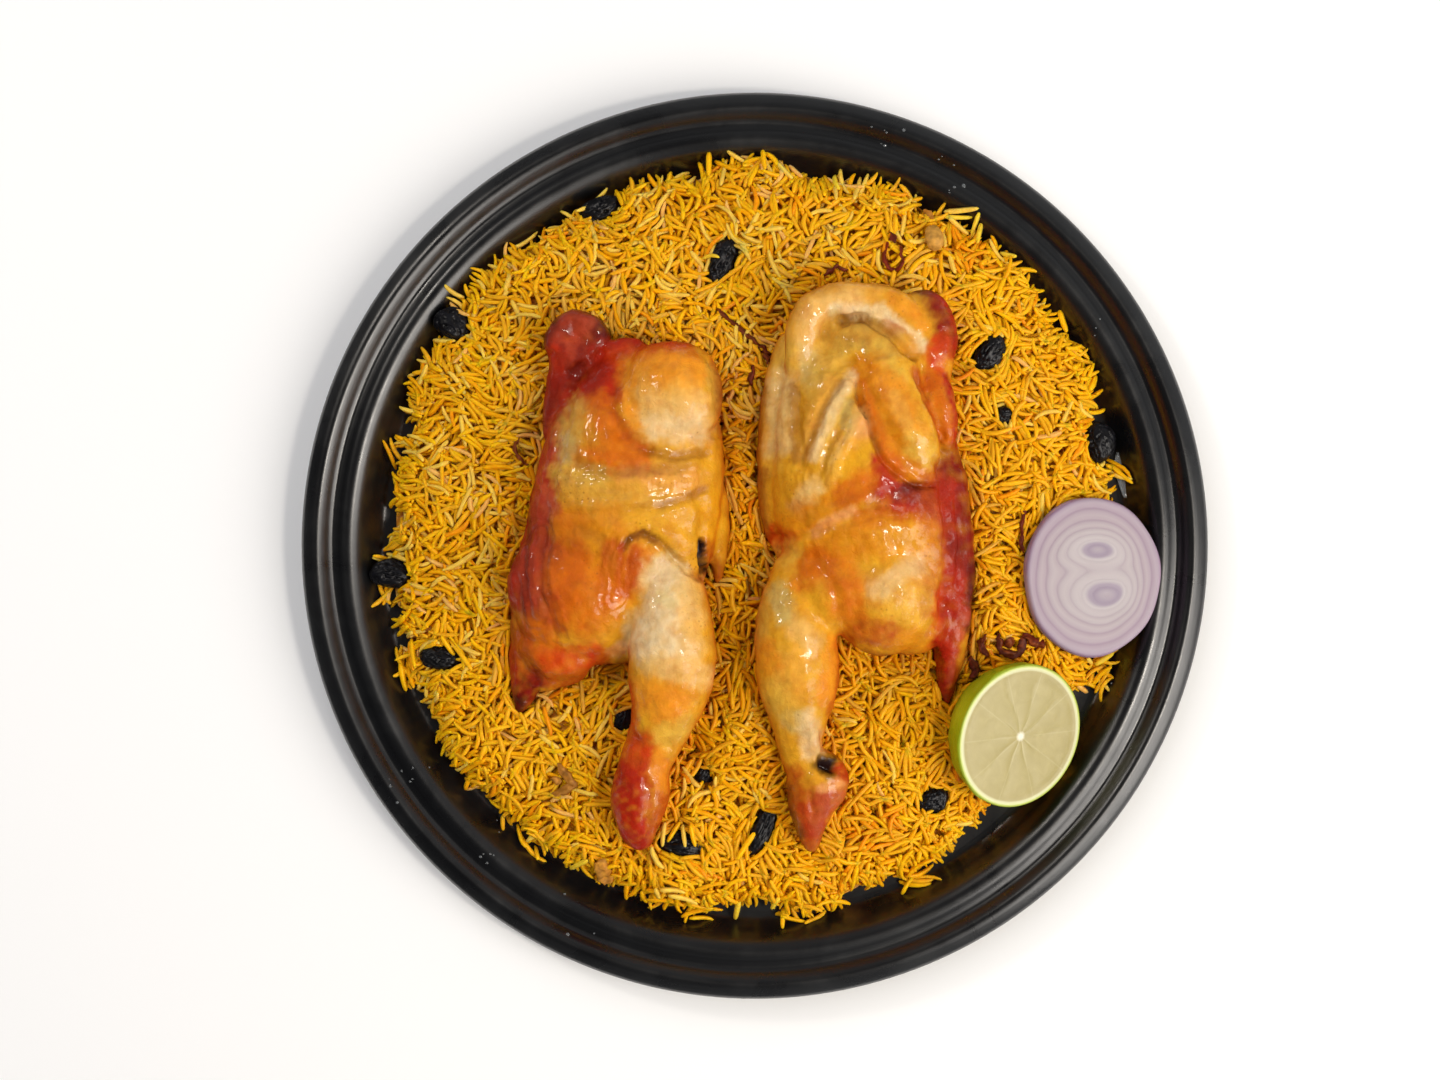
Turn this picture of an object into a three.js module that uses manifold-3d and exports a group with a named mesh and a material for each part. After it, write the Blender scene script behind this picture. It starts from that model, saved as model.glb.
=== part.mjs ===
// Plate of chicken mandi: a round black plate with a heap of yellow rice, two half
// chickens lying skin side up on it, a slice of onion, half a lime and black raisins.
// Sizes are in millimetres. +Z is up, +Y points to the far side of the plate, and the
// origin is on the table under the plate's centre. Every piece is a closed solid.
import * as THREE from "three";
import Module from "manifold-3d";
import { mergeVertices } from "three/addons/utils/BufferGeometryUtils.js";

const wasm = await Module();
wasm.setup();

// ---------------------------------------------------------------- driving sizes

const GAP = 0.35; // left between pieces that touch
const BED_GAP = 3.3; // left round each chicken, whose bed in the rice has coarser facets than the chicken
const RAISIN_GAP = 1.5; // the same round each raisin

const PLATE_RADIUS = 178;
const PLATE_SEGMENTS = 42;
const FLOOR_TOP = 4.5; // the eating surface
const FOOT_HEIGHT = 1.6;
const FOOT_INNER = 118;
const FOOT_OUTER = 126;

const RICE_SEGMENTS = 39;
const RICE_LIP = 2.5; // height of the heap at its very edge
const RICE_RISE = 19; // from the lip to the middle of the heap
const RICE_TOP_RINGS = [1, 0.985, 0.94, 0.84, 0.66, 0.44, 0.22, 0];
const RICE_UNDER_RINGS = [0, 0.94, 0.97, 1];
// the heap's edge, every 15 degrees anticlockwise from +X
const RICE_EDGE = [
  139, 143, 149, 152, 152, 151, 153, 150, 150, 153, 150, 145,
  144, 143, 146, 146, 145, 147, 143, 145, 142, 139, 140, 139,
];

const WALL_CLEARANCE = 1.4; // how far the rice stays inside the wall, whose facets differ from the heap's

const LIME = { x: 102.3, y: -73.4, radius: 28.4, depth: 26, faceHeight: 33.2, tiltDeg: 31, towardsDeg: -22 };
const ONION = { x: 131, y: -12, halfX: 27, halfY: 31, thickness: 6.5, tiltDeg: 8 };

const RAISIN_SINK = 0.35; // how far a raisin's middle lies under the rice's surface, in half heights
// middle (x, y), half length, half width, half height, and heading of its long axis
const RAISINS = [
  [-60.5, 132, 8.5, 5.5, 4.5, 20],
  [-12.6, 111, 10.5, 5.2, 4.8, 68],
  [-118, 87, 7.8, 6.2, 5, 150],
  [91.5, 74.5, 8.2, 5.4, 4.6, 52],
  [135.5, 41, 8.2, 6.4, 5, 100],
  [-143, -11.5, 8.8, 5.8, 4.6, 175],
  [-122.5, -44, 8.6, 5.4, 4.4, 172],
  [3.3, -110, 11.4, 4.6, 4.4, 66],
  [-29, -116, 9.2, 5, 4.2, 168],
  [70, -99, 6.6, 5.2, 4.2, 30],
  [97, 51, 4.2, 3.6, 3.2, 0],
  [-19.5, -88.5, 4.6, 4, 3.4, 60],
  [-51, -67.5, 5.4, 4.2, 3.6, 70],
];

// A limb is a row of stations down the middle of a muscle or bone, with rounded ends:
// [x, y, z, half width, half height].
const LEFT_HALF = {
  body: [
    [-43, 77, 35, 24, 12], [-44, 55, 37, 33, 19.5], [-47, 28, 37.5, 36, 22],
    [-52, 0, 36, 36, 21], [-57, -26, 34, 32, 18], [-59, -45, 31, 24, 12],
  ],
  wingStump: [[-31, 77, 41, 18, 12], [-31.5, 56, 45, 19.5, 15], [-33, 36, 42, 17, 11]],
  neck: [
    [-69, 90, 34, 10, 8], [-68.5, 80, 35, 13.4, 10.5], [-69.5, 67, 34, 9.5, 9], [-73, 50, 32.5, 8.5, 9], [-76, 36, 31, 8, 8],
  ],
  back: [
    [-71, 58, 30, 7, 10], [-76.5, 26, 30, 9, 12], [-81.5, -4, 29, 9, 12], [-86, -28, 27, 8.5, 11],
    [-87, -44, 26, 8.5, 9.5], [-89.5, -57, 25.5, 6, 6], [-92, -66, 24, 2.5, 3],
  ],
  flank: [[-90, -38, 31, 9, 11], [-76, -40, 33, 12.5, 12.5], [-58, -34, 34, 10, 12]],
  tailWeb: [[-91, -46, 28, 5, 7], [-84, -50.5, 28, 6, 7], [-75, -49, 30, 6, 8], [-64, -46, 31, 6, 8]],
  thigh: [[-62, 10, 37, 25, 14], [-66.5, -18, 39, 27.5, 17], [-70, -44, 34, 22, 12]],
  drumstick: [
    [-38, 4, 39, 10, 9], [-33.5, -12, 42, 15.5, 14], [-31.5, -32, 43.5, 17.5, 15.5], [-32, -52, 41.5, 16.5, 14.5],
    [-36, -69, 38.5, 11.8, 11], [-41.5, -82, 36, 10.3, 9.5], [-44.3, -97, 35, 12.2, 10.5], [-44.8, -108, 34, 10.5, 9.5],
    [-44, -117, 32.5, 8, 7],
  ],
  breastEdge: [[-22, 38, 31, 8, 11], [-17, 18, 31, 7, 10], [-14.5, 2, 29.5, 5, 7], [-14, -16, 27, 2.5, 3.5]],
};
const RIGHT_HALF = {
  body: [
    [30, 86, 36, 17, 13], [32, 62, 38, 26, 19], [37, 36, 40, 32, 22],
    [43, 10, 39, 35, 21], [51, -14, 37, 33, 19], [56, -35, 33, 23, 12],
  ],
  breastEdge: [
    [13, 82, 32, 7, 8], [11, 60, 33, 8.5, 11], [9.8, 35, 33, 9, 12], [10.8, 10, 32, 9, 11], [14, -8, 29, 6, 7],
  ],
  upperWing: [
    [16.5, 58, 41, 6.5, 7], [17.8, 73, 44.5, 8, 7.5], [19.5, 86, 45.5, 7.4, 7.5], [28, 92.4, 45.5, 7, 7.5],
    [38, 93, 45.5, 7, 7.5], [49, 92, 45.2, 7.2, 7.5], [57.4, 87.4, 45, 7, 7.2], [61.6, 81, 45, 6, 7],
    [62.8, 75, 44.5, 4.6, 6],
  ],
  forearm: [
    [43, 90, 44, 10, 6], [43, 81, 46, 17, 7.5], [46.5, 71, 47, 16.5, 9], [51, 60, 49, 12.6, 10],
    [55.4, 49, 51, 12.2, 10.5], [60, 38, 51.5, 12, 10.5], [64, 25, 49.5, 10.5, 9],
  ],
  wingWeb: [[42, 82, 44.5, 7, 6], [34, 70, 46, 8, 6.5], [28, 58, 46.5, 7, 6], [22, 46, 46, 5, 5], [18, 36, 45, 3, 4]],
  wingTip: [[63, 68, 44, 5, 6], [69, 59, 45, 6, 7], [72, 47, 44, 5.5, 7], [73, 36, 42, 4.5, 6]],
  elbow: [[57, 94, 41, 5, 6], [66, 90, 42, 8, 8], [70.5, 80, 41, 7, 9], [70.5, 68, 40, 5.5, 9], [69, 54, 38, 6, 9]],
  back: [
    [64, 74, 34, 8, 9], [67, 50, 33, 9, 12.5], [72, 25, 32, 9.5, 13.5], [74.5, 0, 31, 9.5, 12.5],
    [75.5, -26, 29, 8.5, 11], [75, -46, 27, 6.5, 8], [74, -63, 24.5, 3, 4],
  ],
  thigh: [[30, -4, 40, 17, 13], [50, -17, 42, 25, 17.5], [70, -23, 37, 20, 13]],
  flank: [[38, -24, 36, 11, 12], [58, -28, 36, 14, 14], [74, -28, 33, 12, 10]],
  bridge: [[12, -14, 42, 12, 11], [30, -15, 44, 18, 14], [52, -18, 43, 20, 15]],
  drumstick: [
    [22, 6, 38, 9, 8], [17.5, -10, 41, 14.5, 13], [15.5, -30, 42.5, 17.2, 15.5], [16.5, -50, 41, 16.6, 14.5],
    [17, -63, 38, 12.8, 12], [17.2, -73, 36, 9.4, 10], [18.5, -81, 35, 8.6, 9.5], [23.8, -90, 35, 13.2, 10.5],
    [22, -99, 34, 11, 9.5], [21.3, -108, 33, 8.4, 8], [22, -118, 31.5, 5.6, 5.5],
  ],
};

// --------------------------------------------------------------------- helpers

const rad = THREE.MathUtils.degToRad;

// A closed geometry as a solid: shared vertices merged, triangles that merging flattened left out.
function solidOf(geometry) {
  const bare = geometry.clone();
  bare.deleteAttribute("normal");
  bare.deleteAttribute("uv");
  const merged = mergeVertices(bare, 1e-4);
  const corners = merged.index.array;
  const triangles = [];
  for (let i = 0; i < corners.length; i += 3) {
    const [a, b, c] = corners.slice(i, i + 3);
    if (a !== b && b !== c && c !== a) triangles.push(a, b, c);
  }
  return new wasm.Manifold(
    new wasm.Mesh({
      numProp: 3,
      vertProperties: merged.attributes.position.array,
      triVerts: new Uint32Array(triangles),
    }),
  );
}

function geometryOf(solid) {
  const mesh = solid.getMesh();
  const geometry = new THREE.BufferGeometry();
  geometry.setAttribute("position", new THREE.BufferAttribute(mesh.vertProperties, 3));
  geometry.setIndex(new THREE.BufferAttribute(mesh.triVerts, 1));
  geometry.computeVertexNormals();
  return geometry;
}

// The biggest body of a solid: a cut can leave crumbs of rice between two limbs.
function mainBody(solid) {
  return solid.decompose().reduce((best, body) => (body.volume() > best.volume() ? body : best));
}

// Moves each vertex of a geometry; move(vertex) changes the vertex it is given.
function reshape(geometry, move) {
  const at = geometry.attributes.position;
  const v = new THREE.Vector3();
  for (let i = 0; i < at.count; i++) {
    move(v.fromBufferAttribute(at, i));
    at.setXYZ(i, v.x, v.y, v.z);
  }
  return geometry;
}

// A profile of [radius, height] turned about +Z.
function lathe(profile, segments) {
  const points = profile.map(([r, z]) => new THREE.Vector2(r, z));
  return new THREE.LatheGeometry(points, segments).rotateX(Math.PI / 2);
}

// Tips a geometry that stands on +Z towards a compass direction and carries it to its place.
function tipped(geometry, { tiltDeg, towardsDeg = 0 }, x, y, z) {
  const axis = new THREE.Vector3(-Math.sin(rad(towardsDeg)), Math.cos(rad(towardsDeg)), 0);
  geometry.applyMatrix4(new THREE.Matrix4().makeRotationAxis(axis, rad(tiltDeg)));
  return geometry.translate(x, y, z);
}

// ----------------------------------------------------------------------- plate

// The upper surface from the flat floor over the wall, the groove and the rolled rim.
const PLATE_TOP = [
  [145, FLOOR_TOP], [148.6, 5.6], [151, 8.4], [154.4, 13.4], [157.2, 16], [159.8, 16.8], [163, 16], [165.6, 15],
  [168, 16.5], [170.2, 18.5], [172.1, 19], [175.3, 17.8], [177.2, 16], [PLATE_RADIUS, 14.2],
];
const PLATE_UNDER = [
  [177.5, 12.8], [175.2, 12.3], [171.4, 14.6], [165, 11.4], [160, 11.4], [153, 2.8], [149, FOOT_HEIGHT],
  [FOOT_OUTER + 1.5, FOOT_HEIGHT], [FOOT_OUTER, 0], [FOOT_INNER, 0], [FOOT_INNER - 1.5, FOOT_HEIGHT],
  [0, FOOT_HEIGHT],
];

const plateTopPoints = [[0, FLOOR_TOP], ...PLATE_TOP];

// Height of the plate's upper surface at a radius.
function plateTop(radius) {
  const outer = plateTopPoints.findIndex(([r]) => r >= radius);
  if (outer < 1) return FLOOR_TOP;
  const [r0, z0] = plateTopPoints[outer - 1];
  const [r1, z1] = plateTopPoints[outer];
  return z0 + ((z1 - z0) * (radius - r0)) / (r1 - r0);
}

function plateGeometry() {
  return geometryOf(solidOf(lathe([...plateTopPoints, ...PLATE_UNDER].reverse(), PLATE_SEGMENTS)));
}

// ------------------------------------------------------------------------ rice

const riceEdgeCurve = new THREE.CatmullRomCurve3(
  RICE_EDGE.map((r, i) => new THREE.Vector3().setFromCylindricalCoords(r, (i / RICE_EDGE.length) * 2 * Math.PI, 0)),
  true,
);

// The heap's edge radius in a direction, nibbled as loose rice is.
function riceEdge(angle) {
  const turn = THREE.MathUtils.euclideanModulo(angle / (2 * Math.PI), 1);
  return riceEdgeCurve.getPoint(turn).length() + 1.6 * Math.sin(angle * 17);
}

// A smooth uneven field of about -1 to 1, with bumps some 30 to 60 mm apart.
function unevenness(x, y) {
  return (
    0.45 * Math.sin(x / 9.5 + 1.3 * Math.sin(y / 17)) +
    0.35 * Math.sin(y / 8.1 - 0.8 + Math.sin(x / 21)) +
    0.2 * Math.sin((x + y) / 5.3 + 0.4)
  );
}

function riceTop(x, y) {
  const radius = Math.hypot(x, y);
  const share = Math.min(1, radius / riceEdge(Math.atan2(y, x)));
  const dome = Math.pow(1 - Math.pow(share, 7), 0.62);
  const bumps = 1.7 * unevenness(x, y) * Math.min(1, 4 * (1 - share));
  return Math.max(plateTop(radius + WALL_CLEARANCE) + RICE_LIP, FLOOR_TOP + RICE_LIP + RICE_RISE * dome + bumps);
}

function riceSolid() {
  const profile = [...RICE_UNDER_RINGS.map((r) => [r, 0]), ...RICE_TOP_RINGS.map((r) => [r, 1])];
  const heap = lathe(profile, RICE_SEGMENTS);
  reshape(heap, (v) => {
    const angle = Math.atan2(v.y, v.x);
    const radius = Math.hypot(v.x, v.y) * riceEdge(angle);
    v.set(radius * Math.cos(angle), radius * Math.sin(angle), v.z);
    v.z = v.z > 0.5 ? riceTop(v.x, v.y) : plateTop(radius + WALL_CLEARANCE) + GAP;
  });
  return solidOf(heap);
}

// --------------------------------------------------------------------- chicken

const FACET_TOLERANCE = 0.16; // slivers left by joining limbs are cleaned up to this
const LIMB_BLUNTNESS = 0.55; // 1 tapers like an egg, less keeps the thickness nearer the ends

// A rounded muscle or bone along its stations, grown outwards by some millimetres.
// detail 1 is the finest; a wide limb has more sides than a thin one.
function limbSolid(stations, grow, detail) {
  const middle = new THREE.CatmullRomCurve3(stations.map(([x, y, z]) => new THREE.Vector3(x, y, z)));
  const size = new THREE.CatmullRomCurve3(stations.map(([, , , w, h]) => new THREE.Vector3(w, h, 0)));
  const widest = Math.max(...stations.map((station) => station[3]));
  const sides = 2 * Math.round(detail * (3.7 + widest / 9.5));
  const rings = Math.round(detail * (3.2 + stations.length));
  const ball = new THREE.SphereGeometry(1, sides, rings).rotateX(Math.PI / 2);
  reshape(ball, (v) => {
    const slice = Math.sqrt(Math.max(0, 1 - v.z * v.z));
    const t = THREE.MathUtils.clamp((1 - v.z) / 2, 0, 1);
    const along = middle.getTangent(t);
    const across = new THREE.Vector3(along.y, -along.x, 0).normalize();
    const up = new THREE.Vector3().crossVectors(across, along);
    const half = size.getPoint(t);
    const bulge = slice < 1e-6 ? 0 : Math.pow(slice, LIMB_BLUNTNESS - 1);
    const [u, w, end] = [v.x * bulge * (half.x + grow), v.y * bulge * (half.y + grow), -v.z * grow];
    v.copy(middle.getPoint(t)).addScaledVector(across, u).addScaledVector(up, w).addScaledVector(along, end);
  });
  return solidOf(ball);
}

function chickenSolid(limbs, grow = 0, detail = 1) {
  return Object.values(limbs)
    .map((stations) => limbSolid(stations, grow, detail))
    .reduce((whole, limb) => whole.add(limb))
    .simplify(FACET_TOLERANCE);
}

// ------------------------------------------------------- lime, onion and raisins

// Half a lime cut across, its cut face up and leaning out over the plate.
function limeSolid(grow = 0) {
  const steps = 6;
  const profile = [];
  for (let i = 0; i < steps; i++) {
    const turn = (i / steps) * (Math.PI / 2);
    const nipple = i === 0 ? 1.5 : 0;
    profile.push([(LIME.radius + grow) * Math.sin(turn), -(LIME.depth + grow) * Math.cos(turn) - nipple]);
  }
  profile.push([LIME.radius + grow, grow], [0, grow]);
  return solidOf(tipped(lathe(profile, 22), LIME, LIME.x, LIME.y, LIME.faceHeight));
}

// A round slice with softened edges, on the edge of the heap and leaning down to the plate's wall.
function onionSolid(grow = 0) {
  const half = ONION.thickness / 2 + grow;
  const profile = [[0, -half], [0.955, -half], [1, -half * 0.4], [1, half * 0.4], [0.955, half], [0, half]];
  const slice = lathe(profile, 24).scale(ONION.halfX + grow, ONION.halfY + grow, 1);
  return solidOf(tipped(slice, ONION, ONION.x, ONION.y, onionHeight()));
}

// The lowest height of the slice's middle at which its outer edge clears the plate's wall.
function onionHeight() {
  const lean = rad(ONION.tiltDeg);
  let height = 0;
  for (let angle = -Math.PI / 2; angle <= Math.PI / 2; angle += Math.PI / 40) {
    const reach = ONION.halfX * Math.cos(angle);
    const radius = Math.hypot(ONION.x + reach * Math.cos(lean), ONION.y + ONION.halfY * Math.sin(angle));
    height = Math.max(height, plateTop(radius) + reach * Math.sin(lean) + ONION.thickness / 2);
  }
  return height + 2 * GAP;
}

// The height of a raisin's middle: half sunk in the rice, or lying clear on the plate.
function raisinHeight(x, y, length, height) {
  const radius = Math.hypot(x, y);
  const onFloor = plateTop(radius) + height;
  const onWall = plateTop(radius + 0.7 * length) + 0.75 * height;
  return Math.max(onFloor + 2 * GAP, onWall + 4 * GAP, riceTop(x, y) - RAISIN_SINK * height);
}

function raisinSolid([x, y, length, width, height, headingDeg], grow = 0, sides = 9) {
  const ball = new THREE.SphereGeometry(1, sides, 6).rotateY(Math.PI / 2).rotateX(Math.PI / 2);
  reshape(ball, (v) => {
    const fold = 1 - 0.08 * Math.cos(3 * Math.atan2(v.z, v.y)) * (1 - v.x * v.x);
    const bend = 0.14 * width * v.x * v.x;
    v.set(v.x * (length + grow), v.y * (width * fold + grow) + bend, v.z * (height * fold + grow));
  });
  ball.rotateZ(rad(headingDeg));
  return solidOf(ball.translate(x, y, raisinHeight(x, y, length, height)));
}

// --------------------------------------------------------------------- assembly

const FINISHES = {
  plate: { color: 0x17181a, roughness: 0.28, metalness: 0 },
  rice: { color: 0xd99a1a, roughness: 0.6, metalness: 0 },
  chicken: { color: 0xc96a22, roughness: 0.35, metalness: 0 },
  lime: { color: 0xc9c98a, roughness: 0.4, metalness: 0 },
  onion: { color: 0xd3c3cb, roughness: 0.4, metalness: 0 },
  raisin: { color: 0x14151a, roughness: 0.45, metalness: 0 },
};

const dish = new THREE.Group();

function put(name, finish, geometry) {
  const mesh = new THREE.Mesh(geometry, new THREE.MeshStandardMaterial(FINISHES[finish]));
  mesh.name = name;
  dish.add(mesh);
}

// What lies in the rice leaves its own bed in it.
let rice = riceSolid();
for (const limbs of [LEFT_HALF, RIGHT_HALF]) rice = rice.subtract(chickenSolid(limbs, BED_GAP, 0.6));
for (const raisin of RAISINS) rice = rice.subtract(raisinSolid(raisin, RAISIN_GAP, 6));
rice = rice.subtract(limeSolid(GAP)).subtract(onionSolid(GAP));

put("plate", "plate", plateGeometry());
put("rice_heap", "rice", geometryOf(mainBody(rice)));
put("chicken_half_left", "chicken", geometryOf(chickenSolid(LEFT_HALF, 0, 0.95)));
put("chicken_half_right", "chicken", geometryOf(chickenSolid(RIGHT_HALF, 0, 0.9)));
put("lime_half", "lime", geometryOf(limeSolid()));
put("onion_slice", "onion", geometryOf(onionSolid()));
RAISINS.forEach((raisin, i) => {
  put(`raisin_${String(i + 1).padStart(2, "0")}`, "raisin", geometryOf(raisinSolid(raisin)));
});

export default dish;
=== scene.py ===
# Plate of chicken mandi: black plate, heap of saffron rice, two roast half chickens,
# half a lime, an onion slice and black raisins. Built in millimetres, handed to Blender in metres.
import math
import random

import bmesh
import bpy
import numpy as np
from mathutils import Matrix, Vector, noise
from mathutils.bvhtree import BVHTree


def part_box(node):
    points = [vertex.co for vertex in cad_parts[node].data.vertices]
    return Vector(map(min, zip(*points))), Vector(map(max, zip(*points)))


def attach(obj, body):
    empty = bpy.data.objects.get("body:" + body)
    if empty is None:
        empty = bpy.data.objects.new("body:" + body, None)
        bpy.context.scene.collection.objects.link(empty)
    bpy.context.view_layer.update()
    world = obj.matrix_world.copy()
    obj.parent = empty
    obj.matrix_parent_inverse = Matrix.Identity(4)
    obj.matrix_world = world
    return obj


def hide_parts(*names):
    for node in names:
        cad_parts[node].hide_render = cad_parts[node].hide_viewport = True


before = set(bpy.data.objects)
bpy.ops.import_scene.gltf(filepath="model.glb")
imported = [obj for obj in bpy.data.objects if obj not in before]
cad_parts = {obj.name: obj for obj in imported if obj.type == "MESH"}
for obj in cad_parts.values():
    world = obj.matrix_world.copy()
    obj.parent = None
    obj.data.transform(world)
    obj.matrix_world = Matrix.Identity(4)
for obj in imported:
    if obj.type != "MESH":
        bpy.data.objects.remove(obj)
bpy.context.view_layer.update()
mm = 0.001


# Small tools

def linear(hexColour):
    channels = [int(hexColour[i:i + 2], 16) / 255 for i in (1, 3, 5)]
    return tuple(c / 12.92 if c <= 0.04045 else ((c + 0.055) / 1.055) ** 2.4 for c in channels) + (1.0,)


def addNode(tree, kind, sockets=None, ramp=None, **settings):
    # sockets take a value or a link from another node's output
    node = tree.nodes.new(kind)
    for setting, value in settings.items():
        setattr(node, setting, value)
    if ramp:  # stops of a Color Ramp: (place, colour)
        stops = node.color_ramp.elements
        while len(stops) < len(ramp):
            stops.new(1)
        for stop, (place, colour) in zip(stops, ramp):
            stop.position = place
            stop.color = linear(colour)
    for socket, value in (sockets or {}).items():
        if isinstance(value, bpy.types.NodeSocket):
            tree.links.new(value, node.inputs[socket])
        else:
            node.inputs[socket].default_value = value
    return node


def newMaterial(name):
    material = bpy.data.materials.new(name)
    material.use_nodes = True
    material.node_tree.nodes.clear()
    return material, material.node_tree


def addSpot(tree):
    return addNode(tree, "ShaderNodeTexCoord").outputs["Object"]


def addAttribute(tree, name, output="Color"):
    return addNode(tree, "ShaderNodeAttribute", attribute_name=name).outputs[output]


def addNoise(tree, spot, scale, detail=2, roughness=0.5, distortion=0):
    return addNode(tree, "ShaderNodeTexNoise", {
        "Vector": spot, "Scale": scale, "Detail": detail, "Roughness": roughness,
        "Distortion": distortion}).outputs["Fac"]


def addCells(tree, spot, scale):
    return addNode(tree, "ShaderNodeTexVoronoi", {"Vector": spot, "Scale": scale}).outputs["Distance"]


def addRange(tree, value, low, high, newLow, newHigh):
    sockets = {"Value": value, "From Min": low, "From Max": high, "To Min": newLow, "To Max": newHigh}
    return addNode(tree, "ShaderNodeMapRange", sockets).outputs["Result"]


def addRamp(tree, value, stops):
    return addNode(tree, "ShaderNodeValToRGB", {"Fac": value}, ramp=stops).outputs["Color"]


def addMath(tree, operation, *values, clamp=False):
    return addNode(tree, "ShaderNodeMath", dict(enumerate(values)), operation=operation,
                   use_clamp=clamp).outputs["Value"]


def addMix(tree, share, first, second, blend="MIX"):
    return addNode(tree, "ShaderNodeMix", {"Factor": share, 6: first, 7: second}, data_type="RGBA",
                   blend_type=blend).outputs[2]


def addShade(tree, colour, factor):
    # the colour times a factor
    return addNode(tree, "ShaderNodeVectorMath", {0: colour, "Scale": factor},
                   operation="SCALE").outputs["Vector"]


def addBump(tree, height, strength, distance, **under):
    sockets = {"Height": height, "Strength": strength, "Distance": distance, **under}
    return addNode(tree, "ShaderNodeBump", sockets).outputs["Normal"]


def finishMaterial(tree, sockets):
    shader = addNode(tree, "ShaderNodeBsdfPrincipled", sockets)
    addNode(tree, "ShaderNodeOutputMaterial", {"Surface": shader.outputs[0]})


def newPiece(name, mesh, materials, slot, *nodes):
    piece = bpy.data.objects.new(name, mesh)
    bpy.context.scene.collection.objects.link(piece)
    for material in materials:
        mesh.materials.append(material)
    mesh.polygons.foreach_set("use_smooth", np.ones(len(mesh.polygons), bool))
    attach(piece, "root")
    if nodes:
        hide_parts(*nodes)
    return piece


def meshFrom(bm, name):
    # a bmesh in millimetres as a mesh in metres
    bmesh.ops.scale(bm, vec=Vector((mm, mm, mm)), verts=bm.verts)
    mesh = bpy.data.meshes.new(name)
    bm.to_mesh(mesh)
    bm.free()
    return mesh


def bakeModifiers(piece):
    bpy.context.view_layer.update()
    graph = bpy.context.evaluated_depsgraph_get()
    baked = bpy.data.meshes.new_from_object(piece.evaluated_get(graph))
    rough = piece.data
    piece.modifiers.clear()
    piece.data = baked
    bpy.data.meshes.remove(rough)
    return baked


def places(mesh):
    flat = np.empty(len(mesh.vertices) * 3)
    mesh.vertices.foreach_get("co", flat)
    return flat.reshape(-1, 3) / mm


def normals(mesh):
    flat = np.empty(len(mesh.vertices) * 3)
    mesh.vertex_normals.foreach_get("vector", flat)
    return flat.reshape(-1, 3)


def movePlaces(mesh, points):
    mesh.vertices.foreach_set("co", (np.asarray(points) * mm).ravel())
    mesh.update()


def paintMesh(mesh, name, colours):
    layer = mesh.color_attributes.new(name, "FLOAT_COLOR", "POINT")
    rgba = np.ones((len(colours), 4))
    rgba[:, :3] = colours
    layer.data.foreach_set("color", rgba.ravel())


def splineAt(rows, turn, closed=False):
    # Catmull-Rom through rows of numbers, turn running from 0 to 1
    count = len(rows)
    place = turn * (count if closed else count - 1)
    first = math.floor(place) if closed else min(max(int(place), 0), count - 2)
    s = place - first

    def row(i):
        if closed:
            return rows[i % count]
        if i < 0:
            return [2 * a - b for a, b in zip(rows[0], rows[1])]
        if i >= count:
            return [2 * a - b for a, b in zip(rows[-1], rows[-2])]
        return rows[i]

    near = zip(row(first - 1), row(first), row(first + 1), row(first + 2))
    return [0.5 * (2 * b + (c - a) * s + (2 * a - 5 * b + 4 * c - d) * s * s
                   + (3 * b - a - 3 * c + d) * s ** 3) for a, b, c, d in near]


def wobble(points, scale, seed, waves=7):
    # smooth unevenness of about -1 to 1, with lumps about `scale` mm apart
    draw = random.Random(seed)
    total = np.zeros(len(points))
    for _ in range(waves):
        angle = draw.uniform(0, 2 * math.pi)
        step = draw.uniform(0.6, 1.5) * 2 * math.pi / scale
        across = points[:, 0] * math.cos(angle) + points[:, 1] * math.sin(angle)
        if points.shape[1] > 2:
            across = across + points[:, 2] * draw.uniform(-0.8, 0.8)
        total += np.sin(across * step + draw.uniform(0, 2 * math.pi))
    return total / waves * 1.8


def smooth(x):
    x = np.clip(x, 0, 1)
    return x * x * (3 - 2 * x)


def pathDistance(points, path):
    # distance in plan from each point to a line of (x, y) points
    best = np.full(len(points), 1e9)
    if len(path) == 1:
        return np.hypot(points[:, 0] - path[0][0], points[:, 1] - path[0][1])
    for (ax, ay), (bx, by) in zip(path[:-1], path[1:]):
        dx, dy = bx - ax, by - ay
        t = np.clip(((points[:, 0] - ax) * dx + (points[:, 1] - ay) * dy) / (dx * dx + dy * dy), 0, 1)
        best = np.minimum(best, np.hypot(points[:, 0] - ax - t * dx, points[:, 1] - ay - t * dy))
    return best


def addLimb(bm, stations, sides=28, bluntness=0.55):
    # a rounded muscle, bone or strip along stations of [x, y, z, half width, half height]
    ball = bmesh.ops.create_uvsphere(bm, u_segments=sides, v_segments=10 + 5 * len(stations), radius=1)
    for vert in ball["verts"]:
        x, y, z = vert.co
        thick = math.sqrt(max(0.0, 1 - z * z))
        t = (1 - z) / 2
        here = splineAt(stations, t)
        ahead = Vector(splineAt(stations, t + 0.01)[:3]) - Vector(splineAt(stations, t - 0.01)[:3])
        ahead.normalize()
        across = Vector((ahead.y, -ahead.x, 0)).normalized()
        up = across.cross(ahead)
        bulge = thick ** (bluntness - 1) if thick > 1e-5 else 0
        vert.co = Vector(here[:3]) + across * (x * bulge * here[3]) + up * (y * bulge * here[4])


# Camera, light and floor

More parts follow.
